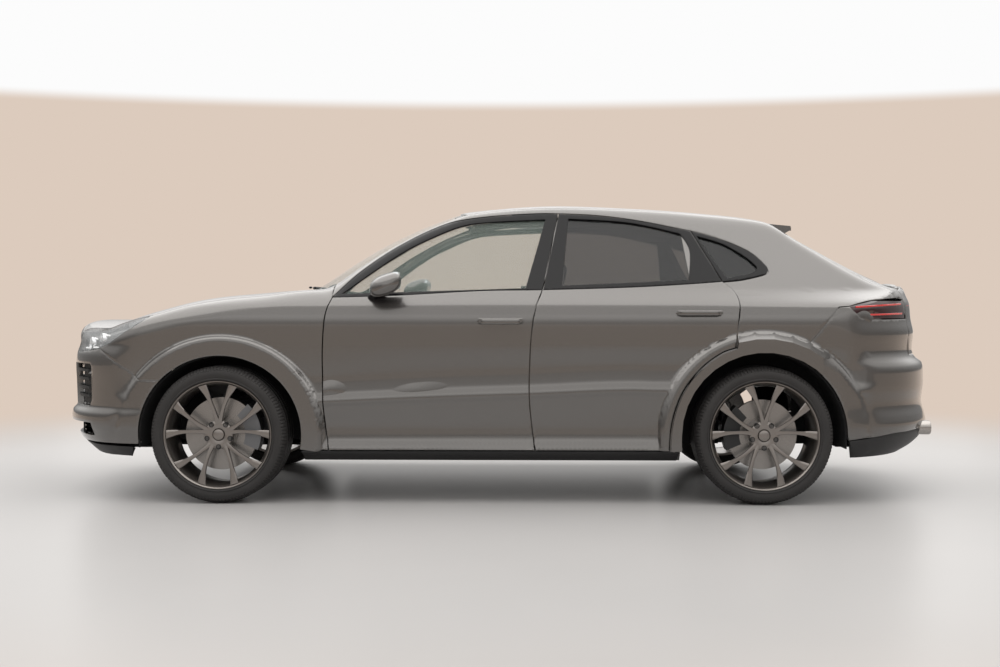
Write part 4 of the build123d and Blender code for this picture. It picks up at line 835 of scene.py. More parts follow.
def show(name, made, material, body, smooth=35):
    """Puts a mesh in the scene as a piece of a body, with outward faces and soft shading."""
    work = bmesh.new()
    work.from_mesh(made)
    bmesh.ops.remove_doubles(work, verts=work.verts, dist=1e-6)
    bmesh.ops.recalc_face_normals(work, faces=work.faces)
    work.to_mesh(made)
    work.free()
    made.materials.clear()
    made.materials.append(material)
    made.shade_smooth()
    made.set_sharp_from_angle(angle=math.radians(smooth))
    piece = bpy.data.objects.new(name, made)
    bpy.context.scene.collection.objects.link(piece)
    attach(piece, body)
    return piece


def at_wheel(made, axle_x, side, width):
    """Moves a mesh made for a left wheel about the origin to its hub; side is -1 on the left."""
    made = made.copy()
    place = Matrix.Translation((axle_x, side * (WHEEL_FACE_Y - width / 2 + BULGE), TYRE_RADIUS))
    made.transform(place @ Matrix.Diagonal((1, -side, 1, 1)))
    return made


rubber, tree, output = new_material("moulded_tyre_rubber")
place = add(tree, "ShaderNodeTexCoord").outputs["Object"]
# mould grain is 0.1 mm; drawn at 3 mm so that it shows
grain = add(tree, "ShaderNodeTexNoise", {"Vector": place, "Scale": 330.0, "Detail": 4.0})
dust = add(tree, "ShaderNodeTexNoise", {"Vector": place, "Scale": 9.0, "Detail": 3.0})
tone = add(tree, "ShaderNodeMix", {0: dust.outputs["Fac"], 6: linear("#201f1f"), 7: linear("#2f2d2c")},
           data_type="RGBA")
rough = add(tree, "ShaderNodeMapRange", {"Value": grain.outputs["Fac"], "To Min": 0.5, "To Max": 0.78})
bump = add(tree, "ShaderNodeBump", {"Height": grain.outputs["Fac"], "Strength": 0.25, "Distance": 0.0006})
body = add(tree, "ShaderNodeBsdfPrincipled", {"Base Color": tone.outputs[2], "Roughness": rough.outputs[0],
                                              "Normal": bump.outputs[0], "Specular IOR Level": 0.4})
tree.links.new(body.outputs[0], output.inputs["Surface"])


def tyre_mesh(width, cuts=120):
    """A tyre about the Y axis, with straight grooves in its section and a cut at every third step."""
    half = width / 2
    groove, cut_depth = 0.0065, 0.005
    section = [(RIM_RADIUS - 0.006, -half + 0.02), (RIM_RADIUS + 0.003, -half + 0.007),
               (RIM_RADIUS + 0.009, -half + 0.0015), (RIM_RADIUS + 0.013, -half + 0.001),
               (RIM_RADIUS + 0.016, -half + 0.004), (RIM_RADIUS + 0.03, -half + 0.0005),
               (RIM_RADIUS + 0.042, -half + 0.001), (RIM_RADIUS + 0.052, -half + 0.004),
               (RIM_RADIUS + 0.0535, -half + 0.0055), (RIM_RADIUS + 0.058, -half + 0.0055),
               (TYRE_RADIUS - 0.0105, -half + 0.0165)]
    tread = [(TYRE_RADIUS - 0.0055, -half + 0.03)]
    for middle in (-0.31, -0.11):
        centre = middle * width
        top = TYRE_RADIUS - 0.003 * (2 * abs(middle)) ** 2
        tread += [(top, centre - 0.0055), (top - groove, centre - 0.0045), (top - groove, centre + 0.0045),
                  (top, centre + 0.0055)]
    outer = section + tread
    profile = outer + [(TYRE_RADIUS, 0)] + [(r, -y) for r, y in outer[::-1]]
    turns = np.linspace(0, 2 * math.pi, 3 * cuts, endpoint=False)
    rows = []
    for i, turn in enumerate(turns):
        row = []
        for r, y in profile:
            outside = half - 0.017 < abs(y) + 0.004 and r > RIM_RADIUS + 0.056
            shoulder = outside or abs(y) > 0.335 * width and r > TYRE_RADIUS - 0.02
            drop = cut_depth if shoulder and i % 3 == 0 else 0
            skew = 0.012 * math.sin(abs(y) / half * 1.6)
            row.append(((r - drop) * math.cos(turn + skew), y, (r - drop) * math.sin(turn + skew)))
        rows.append(row)
    return grid_mesh("tyre", rows, wrap_rows=True, wrap_columns=True)


WHEELS = [(place, side, axle_x, width) for place, axle_x, width in
          (("front", FRONT_AXLE_X, FRONT_TYRE), ("rear", REAR_AXLE_X, REAR_TYRE))
          for side in (-1, 1)]


def side_name(side):
    """The word for a side; -1 is the left."""
    return "left" if side < 0 else "right"


for place, side, axle_x, width in WHEELS:
    where = f"{place}_{side_name(side)}"
    tyre = show(f"road_tyre_{where}", at_wheel(tyre_mesh(width), axle_x, side, width), rubber,
                f"wheel_{where}", 28)
    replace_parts(tyre, f"tyre_{where}")

# ---- wheels ---------------------------------------------------------------------------------------
# Forged aluminium wheels in satin grey: a deep barrel, five pairs of slim curved arms that spring from
# a dished hub, five bolt pockets and a plain centre cap, held on by five steel bolts.
forged, tree, output = new_material("satin_lacquered_forged_aluminium")
place = add(tree, "ShaderNodeTexCoord").outputs["Object"]
# metal flake in the lacquer, drawn at 1.5 mm
flake = add(tree, "ShaderNodeTexNoise", {"Vector": place, "Scale": 650.0, "Detail": 2.0})
tone = add(tree, "ShaderNodeMix", {0: flake.outputs["Fac"], 6: linear("#6d6864"), 7: linear("#8b8580")},
           data_type="RGBA")
body = add(tree, "ShaderNodeBsdfPrincipled",
           {"Base Color": tone.outputs[2], "Metallic": 0.9, "Roughness": 0.3,
            "Coat Weight": 0.5, "Coat Roughness": 0.12})
tree.links.new(body.outputs[0], output.inputs["Surface"])

shadow_plastic, tree, output = new_material("moulded_black_polypropylene")
place = add(tree, "ShaderNodeTexCoord").outputs["Object"]
# leather-like mould grain of about 1.5 mm
grain = add(tree, "ShaderNodeTexVoronoi", {"Vector": place, "Scale": 650.0})
bump = add(tree, "ShaderNodeBump", {"Height": grain.outputs["Distance"], "Strength": 0.2, "Distance": 0.0004})
body = add(tree, "ShaderNodeBsdfPrincipled", {"Base Color": linear("#131314"), "Roughness": 0.5,
                                              "Normal": bump.outputs[0]})
tree.links.new(body.outputs[0], output.inputs["Surface"])

bolt_steel, tree, output = new_material("zinc_plated_steel")
place = add(tree, "ShaderNodeTexCoord").outputs["Object"]
spangle = add(tree, "ShaderNodeTexNoise", {"Vector": place, "Scale": 400.0})
rough = add(tree, "ShaderNodeMapRange", {"Value": spangle.outputs["Fac"], "To Min": 0.25, "To Max": 0.45})
body = add(tree, "ShaderNodeBsdfPrincipled", {"Base Color": linear("#5b5a59"), "Metallic": 1.0,
                                              "Roughness": rough.outputs[0]})
tree.links.new(body.outputs[0], output.inputs["Surface"])

ARM_PAIRS, ARM_SPREAD = 5, 17.5           # degrees that an arm leans from its pair's middle at the rim
HUB_FACE = 0.092
BOLT_CIRCLE = 0.065
ARM_SECTION = ((-1, 1), (-1, 0.35), (-0.94, 0.12), (-0.76, 0.02), (-0.3, 0.0), (0.3, 0.0), (0.76, 0.02),
               (0.94, 0.12), (1, 0.35), (1, 1))


def dish_y(radius, half):
    """The y of the arms' faces by radius: dished at the hub, and flush with the rim outside."""
    t = np.clip((radius - 0.05) / (RIM_RADIUS - 0.062), 0, 1)
    return -half + 0.005 + 0.024 * (1 - t) ** 1.5


def spoke(half, pair, turn):
    """One arm: a rounded section swept from the hub to the rim, leaning away from its pair's middle."""
    rows = []
    for t in np.linspace(0, 1, 15):
        radius = 0.050 + t * (RIM_RADIUS - 0.012 - 0.050)
        lean = math.radians(90 + 360 / ARM_PAIRS * pair + turn * (4.5 + (ARM_SPREAD - 4.5) * t ** 0.8))
        wide = 0.0165 - 0.0065 * math.sin(math.pi * min(t * 1.15, 1)) + 0.0085 * t ** 6
        deep = 0.030 - 0.008 * math.sin(math.pi * t) + 0.012 * (1 - t) ** 2
        face = dish_y(radius, half)
        axis = np.array([math.cos(lean), 0, math.sin(lean)])
        across = np.array([-math.sin(lean), 0, math.cos(lean)])
        ring = []
        for u, v in ARM_SECTION:
            depth = np.array([0, face + v * deep, 0])
            ring.append(axis * radius + across * (u * wide * (1 - 0.25 * v)) + depth)
        rows.append(ring)
    return grid_mesh("spoke", rows, wrap_columns=True, caps=True)


def turned(name, profile, steps=96):
    """A lathe-turned mesh about the Y axis; the profile is (radius, y) points, closed."""
    turns = np.linspace(0, 2 * math.pi, steps, endpoint=False)
    rows = [[(r * math.cos(t), y, r * math.sin(t)) for r, y in profile] for t in turns]
    return grid_mesh(name, rows, wrap_rows=True, wrap_columns=True)


def join(name, *meshes):
    """One mesh out of several."""
    work = bmesh.new()
    for part in meshes:
        work.from_mesh(part)
    made = bpy.data.meshes.new(name)
    work.to_mesh(made)
    work.free()
    return made


def rim_mesh(half):
    """Barrel, hub and arms of one wheel; half is half of the rim's width."""
    seat = RIM_RADIUS - 0.0095
    barrel = [(RIM_RADIUS, -half), (RIM_RADIUS + 0.0005, -half + 0.004), (RIM_RADIUS - 0.001, -half + 0.008),
              (seat, -half + 0.012), (seat, half - 0.012), (RIM_RADIUS, half - 0.006), (RIM_RADIUS, half),
              (seat - 0.006, half), (seat - 0.008, half - 0.05), (seat - 0.02, 0.02),
              (seat - 0.018, -half + 0.06), (seat - 0.008, -half + 0.03), (seat - 0.004, -half + 0.012),
              (RIM_RADIUS - 0.006, -half + 0.003), (RIM_RADIUS - 0.003, -half)]
    hub = [(0.0, -half + 0.04), (0.03, -half + 0.037), (0.034, -half + 0.0315), (0.052, -half + 0.0275),
           (0.066, -half + 0.0275), (0.075, -half + 0.033), (0.079, -half + 0.045), (0.077, -half + 0.062),
           (0.07, -half + HUB_FACE), (0.0, -half + HUB_FACE)]
    arms = [spoke(half, pair, turn) for pair in range(ARM_PAIRS) for turn in (-1, 1)]
    return join("rim", turned("barrel", barrel, 128), turned("hub", hub, 64), *arms)


def on_bolt_circle(name, profile, steps):
    """Five turned forms on the bolt circle, one between each two pairs of arms."""
    made = []
    for i in range(ARM_PAIRS):
        turn = math.radians(126 + 360 / ARM_PAIRS * i)
        form = turned(name, profile, steps)
        form.transform(Matrix.Translation((BOLT_CIRCLE * math.cos(turn), 0, BOLT_CIRCLE * math.sin(turn))))
        made.append(form)
    return join(name, *made)


def bolt_set(half):
    """Hexagon heads of the wheel bolts."""
    return on_bolt_circle("bolts", [(0.0, -half + 0.024), (0.0075, -half + 0.0235), (0.0085, -half + 0.025),
                                    (0.0085, -half + 0.045), (0.0, -half + 0.045)], 6)


def pocket_set(half):
    """The round sleeves that the bolt heads sit in, drawn black as painted shade in the wheel's pockets."""
    return on_bolt_circle("pockets",
                          [(0.0095, -half + 0.0265), (0.0135, -half + 0.0255), (0.0145, -half + 0.028),
                           (0.0145, -half + 0.05), (0.0095, -half + 0.05)], 20)


def cap_mesh(half):
    """The plain cap over the hub's bore."""
    return turned("cap", [(0.0, -half + 0.0205), (0.02, -half + 0.0215), (0.028, -half + 0.0245),
                          (0.0305, -half + 0.0285), (0.0305, -half + 0.045), (0.0, -half + 0.045)], 48)


for place, side, axle_x, width in WHEELS:
    where, half = f"{place}_{side_name(side)}", width / 2 - BULGE
    # the sleeves round the bolt heads take the black plastic finish: painted shade in the pockets of the bare
    # aluminium wheel
    for label, made, material, smooth in (("forged_wheel", rim_mesh(half), forged, 40),
                                          ("wheel_bolts", bolt_set(half), bolt_steel, 35),
                                          ("bolt_pocket_shade", pocket_set(half), shadow_plastic, 35),
                                          ("centre_cap", cap_mesh(half), forged, 35)):
        piece = show(f"{label}_{where}", at_wheel(made, axle_x, side, width), material, f"wheel_{where}",
                     smooth)
        if label == "forged_wheel":
            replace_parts(piece, f"rim_{where}")

# ---- windows --------------------------------------------------------------------------------------
# Curved float glass: pale green in front, body-tinted dark behind, bonded or held in gloss black
# frames of lacquered ABS that stand flush with the doors' skins.


def grained(name, colours, size, roughness, relief=0.0, **inputs):
    """A material whose tone, roughness and relief follow one noise; size and relief are in millimetres."""
    made, tree, output = new_material(name)
    place = add(tree, "ShaderNodeTexCoord").outputs["Object"]
    grain = add(tree, "ShaderNodeTexNoise", {"Vector": place, "Scale": 1000.0 / size, "Detail": 3.0})
    tone = add(tree, "ShaderNodeMix", {0: grain.outputs["Fac"], 6: linear(colours[0]), 7: linear(colours[1])},
               data_type="RGBA")
    rough = add(tree, "ShaderNodeMapRange", {"Value": grain.outputs["Fac"], "To Min": roughness[0],
                                             "To Max": roughness[1]})
    inputs = {key.replace("_", " "): value for key, value in inputs.items()}
    if relief:
        bump = add(tree, "ShaderNodeBump", {"Height": grain.outputs["Fac"], "Strength": 0.5,
                                            "Distance": relief / 1000})
        inputs["Normal"] = bump.outputs[0]
    body = add(tree, "ShaderNodeBsdfPrincipled",
               {"Base Color": tone.outputs[2], "Roughness": rough.outputs[0],
                **inputs})
    tree.links.new(body.outputs[0], output.inputs["Surface"])
    return made


def dress(material, *nodes):
    """Gives carried-over nodes their finish; a name that ends in _ stands for its left and right node."""
    for node in nodes:
        for name in [node + "left", node + "right"] if node.endswith("_") else [node]:
            mesh = frame["nodes"][name].data
            mesh.materials.clear()
            mesh.materials.append(material)


# iron in the glass tints it faintly green; a film of dust, drawn at 60 mm, varies its shine
clear_glass = grained("tempered_green_float_glass", ("#7f8e86", "#889690"), 60, (0.01, 0.03), Alpha=0.18,
                      IOR=1.52)
privacy_glass = grained("body_tinted_float_glass", ("#1d1f20", "#232526"), 60, (0.01, 0.03), Alpha=0.5,
                        IOR=1.52)
# the lacquer's orange peel is 2 mm across and only just shows
gloss_black = grained("gloss_black_lacquered_abs", ("#050506", "#08080a"), 2, (0.10, 0.16), 0.01, IOR=1.34)

FRONT_LIGHT = ring_of(curve((-826, 1112), (-694, 1212), (-512, 1339), (-366, 1416), (-207, 1482), (-58, 1508),
                            (268, 1524)), straight((268, 1524), (160, 1144)))
REAR_LIGHT = ring_of(straight((356, 1158), (394, 1528))[:-1], curve((394, 1528), (719, 1506), (1002, 1443)),
                     curve((1002, 1443), (1049, 1353), (1035, 1188)))
QUARTER_LIGHT = ring_of(curve((1090, 1430), (1228, 1387), (1350, 1314), (1408, 1260)),
                        curve((1408, 1260), (1402, 1240), (1362, 1222), (1240, 1198)))
head, tail = shifted(WINDOW_TOP, 1, -2), shifted(WINDOW_TAIL, -2, 2)
waist = shifted(BELT, 0, 3)
split = straight((1058, 1455), (1210, 1181))
frames = (("front", "front_door_{side}", clear_glass, FRONT_LIGHT,
           (part_of(head, fore(608), 333), part_of(B_AHEAD, 1134, 1551, 1)[::-1],
            part_of(waist, fore(608), 246)[::-1])),
          ("rear", "rear_door_{side}", privacy_glass, REAR_LIGHT,
           (part_of(B_BEHIND, 1136, 1551, 1), part_of(head, 343, 1056), split,
            part_of(waist, 258, 1208)[::-1])),
          ("quarter", "body", privacy_glass, QUARTER_LIGHT,
           (shifted(split, 5, 3)[::-1], part_of(head, 1064, 1464), tail)))
for name, rides_on, glass, light, border in frames:
    border = side_skin.by_z(ring_of(*border))
    flat = sheet_mesh("frame", side_skin, border, [side_skin.by_z(light)])
    panel_pair(f"{name}_window_frame", flat, gloss_black, rides_on, "black_plastic", wall=0.012, edge=0.001,
               lift=0.0065)
    slot = "clear_glass" if glass is clear_glass else "dark_glass"
    panes = panel_pair(f"{name}_side_glass", sheet_mesh("pane", side_skin, border), glass, rides_on, slot,
                       wall=0.004, edge=0, lift=-0.0055)
    if name == "quarter":
        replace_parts(panes[0], "quarter_windows")
    else:
        for side, pane in zip(("left", "right"), panes):
            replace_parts(pane, f"{name}_door_glass_{side}")

screen_from, screen_to = (WINDSCREEN_BASE_X - 4, 172), (HEADER_X + 8, 150)
screen_outline = top_outline(screen_from, screen_to, 3)
screen = sheet_mesh("screen", top_skin, screen_outline)
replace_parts(panel("curved_windscreen", screen, clear_glass, "body", "clear_glass", wall=0.005, edge=0,
                  lift=0.001),
            "windscreen")
sight = top_outline((screen_from[0] + 62, 172), (screen_to[0] - 34, 150), 38)
panel("windscreen_border", sheet_mesh("border", top_skin, screen_outline, [sight]), gloss_black, "body",
      "black_plastic", wall=0.001, edge=0, lift=-0.0045)
tail_screen = ring_of(edge_line(glass_from - 8, glass_to + 6, 56),
                      edge_line(glass_to + 6, glass_from - 8, 56, 1))
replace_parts(panel("tailgate_glass", sheet_mesh("pane", top_skin, tail_screen), privacy_glass, "tailgate",
                  "dark_glass", wall=0.004, edge=0, lift=-0.001), "rear_window")
roof_pane = ring_of(bow(fore(1445), 60, 466), [(aft(-185), 454), (aft(-185), -454)])
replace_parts(panel("roof_glass", sheet_mesh("pane", top_skin, roof_pane), privacy_glass, "body", "dark_glass",
                  wall=0.006, edge=0.001, lift=0.002), "roof_window")

# ---- sills and lower edges ------------------------------------------------------------------------
# Grained black polypropylene mouldings along the sills and under both bumpers, clipped on from below.
sill = ring_of(straight((fore(452), 229), (aft(-455), 229)), straight((aft(-448), 281), (fore(446), 281)))
panel_pair("sill_moulding", sheet_mesh("sill", side_skin, side_skin.by_z(sill)), shadow_plastic, "body",
           "black_plastic", wall=0.03)
lip = whole([(0, 236), *nose_skin.by_z([(-1950, 250), (-1938, 296)], 1), (0, 312)])
panel("front_lip", sheet_mesh("lip", nose_skin, lip), shadow_plastic, "body", "black_plastic", wall=0.03)
tail_low = [(0, 250), *tail_skin.by_z([(1880, 250), (1868, 338), (2124, 370)], 1),
            *tail_skin.by_y([(450, 388)]), (0, 388)]
panel("rear_apron", sheet_mesh("apron", tail_skin, whole(tail_low)), shadow_plastic, "body", "black_plastic",
      wall=0.03)

# ---- intakes --------------------------------------------------------------------------------------
# Air intakes in the front bumper: a moulded mesh at the back of each, and curved slats before it.


def swept(name, path, section):
    """A bar along a path of (x, y, z) places; the section is (out, up) offsets round it, in metres."""
    path = np.array(path, float)
    along = np.gradient(path, axis=0)
    along /= np.linalg.norm(along, axis=1)[:, None]
    out = np.cross(along, (0, 0, 1))
    out /= np.linalg.norm(out, axis=1)[:, None]
    up = np.cross(out, along)
    rows = [[p + o * a + u * b for a, b in section] for p, o, u in zip(path, out, up)]
    return grid_mesh(name, rows, wrap_columns=True, caps=True)


def nose_path(z, half_from, half_to, inset, steps=24):
    """Places along the nose at one height, inset behind its skin."""
    y = np.linspace(half_from, half_to, steps)
    places = np.stack([end_x(y, y * 0 + z, -1) + inset, y, y * 0 + z], 1)
    return places * MM


def stacked(name, made, count, pitch, material):
    """A Geometry Nodes stack of one shape, count times, each pitch above the last, as one plain mesh."""
    seed = bpy.data.objects.new(name, made)
    bpy.context.scene.collection.objects.link(seed)
    nodes = bpy.data.node_groups.new(name, "GeometryNodeTree")
    face = nodes.interface
    face.new_socket("Geometry", in_out="INPUT", socket_type="NodeSocketGeometry")
    face.new_socket("Geometry", in_out="OUTPUT", socket_type="NodeSocketGeometry")
    for label, kind in (("Count", "NodeSocketInt"), ("Pitch", "NodeSocketFloat"),
                        ("Finish", "NodeSocketMaterial")):
        face.new_socket(label, in_out="INPUT", socket_type=kind)
    given = add(nodes, "NodeGroupInput").outputs
    step = add(nodes, "ShaderNodeCombineXYZ", {"Z": given["Pitch"]})
    row = add(nodes, "GeometryNodeMeshLine", {"Count": given["Count"], "Offset": step.outputs[0]},
              mode="OFFSET")
    copies = add(nodes, "GeometryNodeInstanceOnPoints",
                 {"Points": row.outputs[0], "Instance": given["Geometry"]})
    real = add(nodes, "GeometryNodeRealizeInstances", {0: copies.outputs[0]})
    finish = add(nodes, "GeometryNodeSetMaterial", {"Geometry": real.outputs[0], "Material": given["Finish"]})
    add(nodes, "NodeGroupOutput", {"Geometry": finish.outputs[0]})
    repeat = seed.modifiers.new("stack", "NODES")
    repeat.node_group = nodes
    for item in face.items_tree:
        if item.name in ("Count", "Pitch", "Finish"):
            repeat[item.identifier] = {"Count": count, "Pitch": pitch, "Finish": material}[item.name]
    return plain_mesh(seed, 35)


# a slat's section: a thin blade with a rounded leading edge
SLAT = [(-0.012, -0.002), (0.016, -0.006), (0.02, -0.003), (0.02, 0.001), (0.016, 0.004), (-0.012, 0.002)]
for name, z, first, last, count, pitch, inset in (
        ("side_intake_slats_left", 560, -790, -524, 4, 0.046, 42),
        ("side_intake_slats_right", 560, 524, 790, 4, 0.046, 42),
        ("middle_intake_slats", 580, -436, 436, 5, 0.026, 36),
        ("low_intake_slats", 366, -640, 640, 3, 0.022, 44)):
    slats = stacked(name, swept(name, nose_path(z, first, last, inset, 40), SLAT), count, pitch, gloss_black)
    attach(slats, "body")

# the mesh behind the slats has 9 mm cells, which the finish only hints at
dress(grained("moulded_mesh_polypropylene", ("#030303", "#161617"), 9, (0.5, 0.8), 2.0), "front_grilles")

# ---- headlamps ------------------------------------------------------------------------------------
# A clear polycarbonate cover over a black bezel with two projectors and four small light guides.
lens_clear = grained("moulded_clear_polycarbonate", ("#dfe4e6", "#e8ecee"), 40, (0.01, 0.03), Alpha=0.16,
                     IOR=1.58, Coat_Weight=1.0)
lamp = ring_of(side_skin.by_z(shifted(LAMP_FOOT, 0, 3)), side_skin.by_y(shifted(LAMP_CROWN, 0, 3)),
               side_skin.by_y(edge_line(-2196, -2322, -4)), by_end([(604, 798), (680, 802)], -1))
lamp_sheet = sheet_mesh("lamp", side_skin, lamp)
covers = panel_pair("headlamp_cover", lamp_sheet, lens_clear, "body", "clear_lamp", wall=0.003, edge=0)
panel_pair("headlamp_bezel", lamp_sheet, gloss_black, "body", "black_plastic", wall=0.003, edge=0,
           lift=-0.026)
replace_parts(covers[0], "headlamps")
guide = grained("frosted_light_guide", ("#f2f4f6", "#ffffff"), 6, (0.2, 0.3), IOR=1.49,
                Emission_Color=linear("#ffffff"), Emission_Strength=0.25)
chrome = grained("aluminised_reflector", ("#c9cacc", "#dadbdd"), 8, (0.06, 0.14), Metallic=1.0)


def oval(out, up, steps=12):
    """An oval section for a bar."""
    return [(out * math.cos(t), up * math.sin(t)) for t in np.linspace(0, 2 * math.pi, steps, endpoint=False)]


def aimed(made, place, ahead):
    """Moves a mesh made about the Y axis, its face at -Y, to a place and turns its face ahead."""
    turn = Vector((0, -1, 0)).rotation_difference(Vector(ahead))
    made = made.copy()
    made.transform(Matrix.Translation(place) @ turn.to_matrix().to_4x4())
    return made


def skin_spot(x, z, inset):
    """A place inset behind the left side's skin, in metres."""
    return Vector((x, -float(skin_y(x, z)) + inset, z)) * MM


reflector = turned("reflector",
                   [(0.0, -0.004), (0.018, -0.003), (0.024, 0.002), (0.034, -0.010), (0.036, -0.010),
                    (0.036, 0.012), (0.0, 0.012)], 40)
projector = turned("projector",
                   [(0.0, -0.016), (0.010, -0.014), (0.018, -0.008), (0.0215, 0.0), (0.0215, 0.006),
                    (0.0, 0.006)], 40)
PROJECTORS = ((-2216, 846, 26), (-2140, 868, 34))          # x, z and how deep behind the cover
LIGHT_GUIDES = ((-2246, 822), (-2182, 826), (-2196, 872), (-2108, 892))
GUIDE_INSET = 20
BEAM = (-0.85, -0.5, 0.1)
for side in (-1, 1):
    bowls, eyes, bars = [], [], []
    for x, z, inset in PROJECTORS:
        spot = skin_spot(x, z, inset)
        bowls.append(aimed(reflector, spot, BEAM))
        eyes.append(aimed(projector, spot, BEAM))
    for x, z in LIGHT_GUIDES:
        spot = skin_spot(x, z, GUIDE_INSET)
        bars.append(swept("guide",
                          [spot + Vector((k * 0.016, -k * 0.012, 0.0)) for k in (-1, -0.5, 0, 0.5, 1)],
                          oval(0.004, 0.0045, 8)))
    for name, parts, material in (("headlamp_reflectors", bowls, chrome),
                                  ("headlamp_projectors", eyes, lens_clear),
                                  ("headlamp_light_guides", bars, guide)):
        made = join(name, *parts)
        if side > 0:
            made.transform(ACROSS)
        show(f"{name}_{side_name(side)}", made, material, "body")

# ---- tail lamps -----------------------------------------------------------------------------------
# Smoked acrylic lamps at the corners, joined across the tailgate by a thin red light bar, and red
# reflectors low in the bumper.
smoked = grained("smoked_red_acrylic", ("#240606", "#300808"), 30, (0.03, 0.06), Coat_Weight=1.0,
                 Coat_Roughness=0.02)
# the faint red glow is the lit light bars' own; the reflectors below share it as a painted glow
red_guide = grained("red_light_guide", ("#a01212", "#c21818"), 5, (0.1, 0.2), Coat_Weight=1.0,
                    Emission_Color=linear("#ff2a1c"), Emission_Strength=0.12)
dress(smoked, "tail_lamps", "light_strip")


def along_side(xs, zs, offset):
    """Places on the left side's skin, offset outward, in metres."""
    xs, zs = np.array(xs, float), np.array(zs, float)
    return np.stack([xs, -skin_y(xs, zs) - offset, zs], 1) * MM


for name, (x_from, z_from), (x_to, z_to) in (("tail_light_bar_upper", (1905, 1046), (2205, 1062)),
                                             ("tail_light_bar_lower", (1950, 1004), (2215, 1010))):
    t = np.linspace(0, 1, 26)
    path = along_side(x_from + (x_to - x_from) * t, z_from + (z_to - z_from) * t, 2.0)
    bar = swept(name, path, oval(0.003, 0.005, 8))
    other = bar.copy()
    other.transform(ACROSS)
    for side, made in ((-1, bar), (1, other)):
        show(f"{name}_{side_name(side)}", made, red_guide, "body")
LIGHT_BAR_HALF, LIGHT_BAR_Z = 585, 1052
ys = np.linspace(-LIGHT_BAR_HALF, LIGHT_BAR_HALF, 80)
bar_path = np.stack([end_x(ys, ys * 0 + LIGHT_BAR_Z, 1) + 2, ys, ys * 0 + LIGHT_BAR_Z], 1) * MM
show("tailgate_light_bar", swept("light_bar", bar_path, oval(0.003, 0.006, 8)), red_guide, "tailgate")
# the reflectors wear the light bars' red finish, and its faint red glow on them is painted light, since a
# reflector does not shine
reflector_ring = ring_of(curve((2062, 515), (2103, 546), (2262, 562), (2256, 530), (2123, 516), (2066, 514),
                               step=8))
panel_pair("rear_reflector", sheet_mesh("reflector", side_skin, side_skin.by_z(reflector_ring)), red_guide,
           "body", "red_lamp", wall=0.006, edge=0.001, lift=0.004)

# ---- door mirrors, handles and wipers -------------------------------------------------------------
# Mirror: a painted ABS shell on a black foot, with a silvered glass. Handle: a painted grip whose ends
# run into the door. Wipers: black arms and blades, in one finish, that park under the hood's edge.


def closed_rows(rows):
    """A closed skin over rings of points, with a flat face over each end."""
    return grid_mesh("shell", rows, wrap_columns=True, caps=True)


def lobe(turns, wide, high, power=2.6):
    """Points round a squarish oval; a higher power is squarer."""
    c, s = np.cos(turns), np.sin(turns)
    return wide * np.sign(c) * np.abs(c) ** (2 / power), high * np.sign(s) * np.abs(s) ** (2 / power)


def around(count):
    """Evenly spaced turns round a circle."""
    return np.linspace(0, 2 * math.pi, count, endpoint=False)


MIRROR_Y = (-0.888, -1.094)
MIRROR_X, MIRROR_Z, MIRROR_LONG, MIRROR_HIGH = -0.588, 1.168, 0.088, 0.061
GLASS_Y, GLASS_Z = -0.99, 1.186
FOOT_X, FOOT_Y, FOOT_Z = -0.645, -0.868, 1.098
rows = []
for t in np.linspace(0, 1, 17):
    y = MIRROR_Y[0] + (MIRROR_Y[1] - MIRROR_Y[0]) * t
    size = (1 - abs(2 * t - 1) ** 4.5) ** 0.45 if 0 < t < 1 else 0.10
    u, v = lobe(around(40), MIRROR_LONG * size, MIRROR_HIGH * size)
    lean = 0.32 * u
    x = MIRROR_X + u + 0.03 * t + np.where(u > 0, -0.12 * u, 0.0)
    rows.append(np.stack([x, np.full(40, y), MIRROR_Z + v * (1 - 0.12 * t) + lean * 0.9 - 0.006 * t], 1))
mirror_shell = closed_rows(rows)
u, v = lobe(around(40), 0.082, 0.045, 3.0)
mirror_glass = closed_rows([np.stack([np.full(40, x), GLASS_Y + u * k, GLASS_Z + v * k], 1) for x, k in
                            ((-0.506, 0.2), (-0.506, 1.0), (-0.512, 1.02), (-0.53, 1.02))])
rows = []
for t in np.linspace(0, 1, 8):
    u, v = lobe(around(24), 0.052 - 0.012 * t, 0.017, 2.4)
    rows.append(np.stack([FOOT_X + 0.03 * t + u, FOOT_Y - 0.075 * t + 0 * u,
                          FOOT_Z + 0.032 * t ** 1.4 + v + 0.2 * u], 1))
mirror_foot = closed_rows(rows)
silvered = grained("silvered_mirror_glass", ("#9fa4a6", "#a6abad"), 50, (0.01, 0.02), Metallic=1.0)

HANDLES = (("front_door", -98, 152, 968), ("rear_door", 952, 1206, 1014))
GRIP_OUT, GRIP_HALF_HIGH = 34, 12.5
handles = {}
for door, x_from, x_to, z in HANDLES:
    rows = []
    for t in np.linspace(0, 1, 25):
        x = x_from + (x_to - x_from) * t
        end = min(t, 1 - t)
        out = GRIP_OUT * ramp(end, 0.0, 0.14) - 2
        deep = 7 if end > 0.06 else 9
        high = GRIP_HALF_HIGH * ((end / 0.05) ** 0.5 if end < 0.05 else 1.0) + 1
        skin = float(skin_y(x, z))
        u, v = lobe(around(16), deep, high, 3.0)
        rows.append(np.stack([np.full(16, x), -(skin + out) + u, z + v], 1) * MM)
    handles[door] = closed_rows(rows)
for side in (-1, 1):
    flip = Matrix.Diagonal((1, -side, 1, 1))
    name = side_name(side)
    for label, made, material, body, slot in (
            ("mirror_shell", mirror_shell, paint, "front_door", "paint"),
            ("mirror_glass", mirror_glass, silvered, "front_door", "clear_glass"),
            ("mirror_foot", mirror_foot, gloss_black, "front_door", "black_plastic"),
            ("front_door_handle", handles["front_door"], paint, "front_door", "paint"),
            ("rear_door_handle", handles["rear_door"], paint, "rear_door", "paint")):
        made = made.copy()
        made.transform(flip)
        piece = show(f"{label}_{name}", made, material, f"{body}_{name}", 40)
        if label == "mirror_shell":
            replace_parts(piece, f"mirror_{name}")


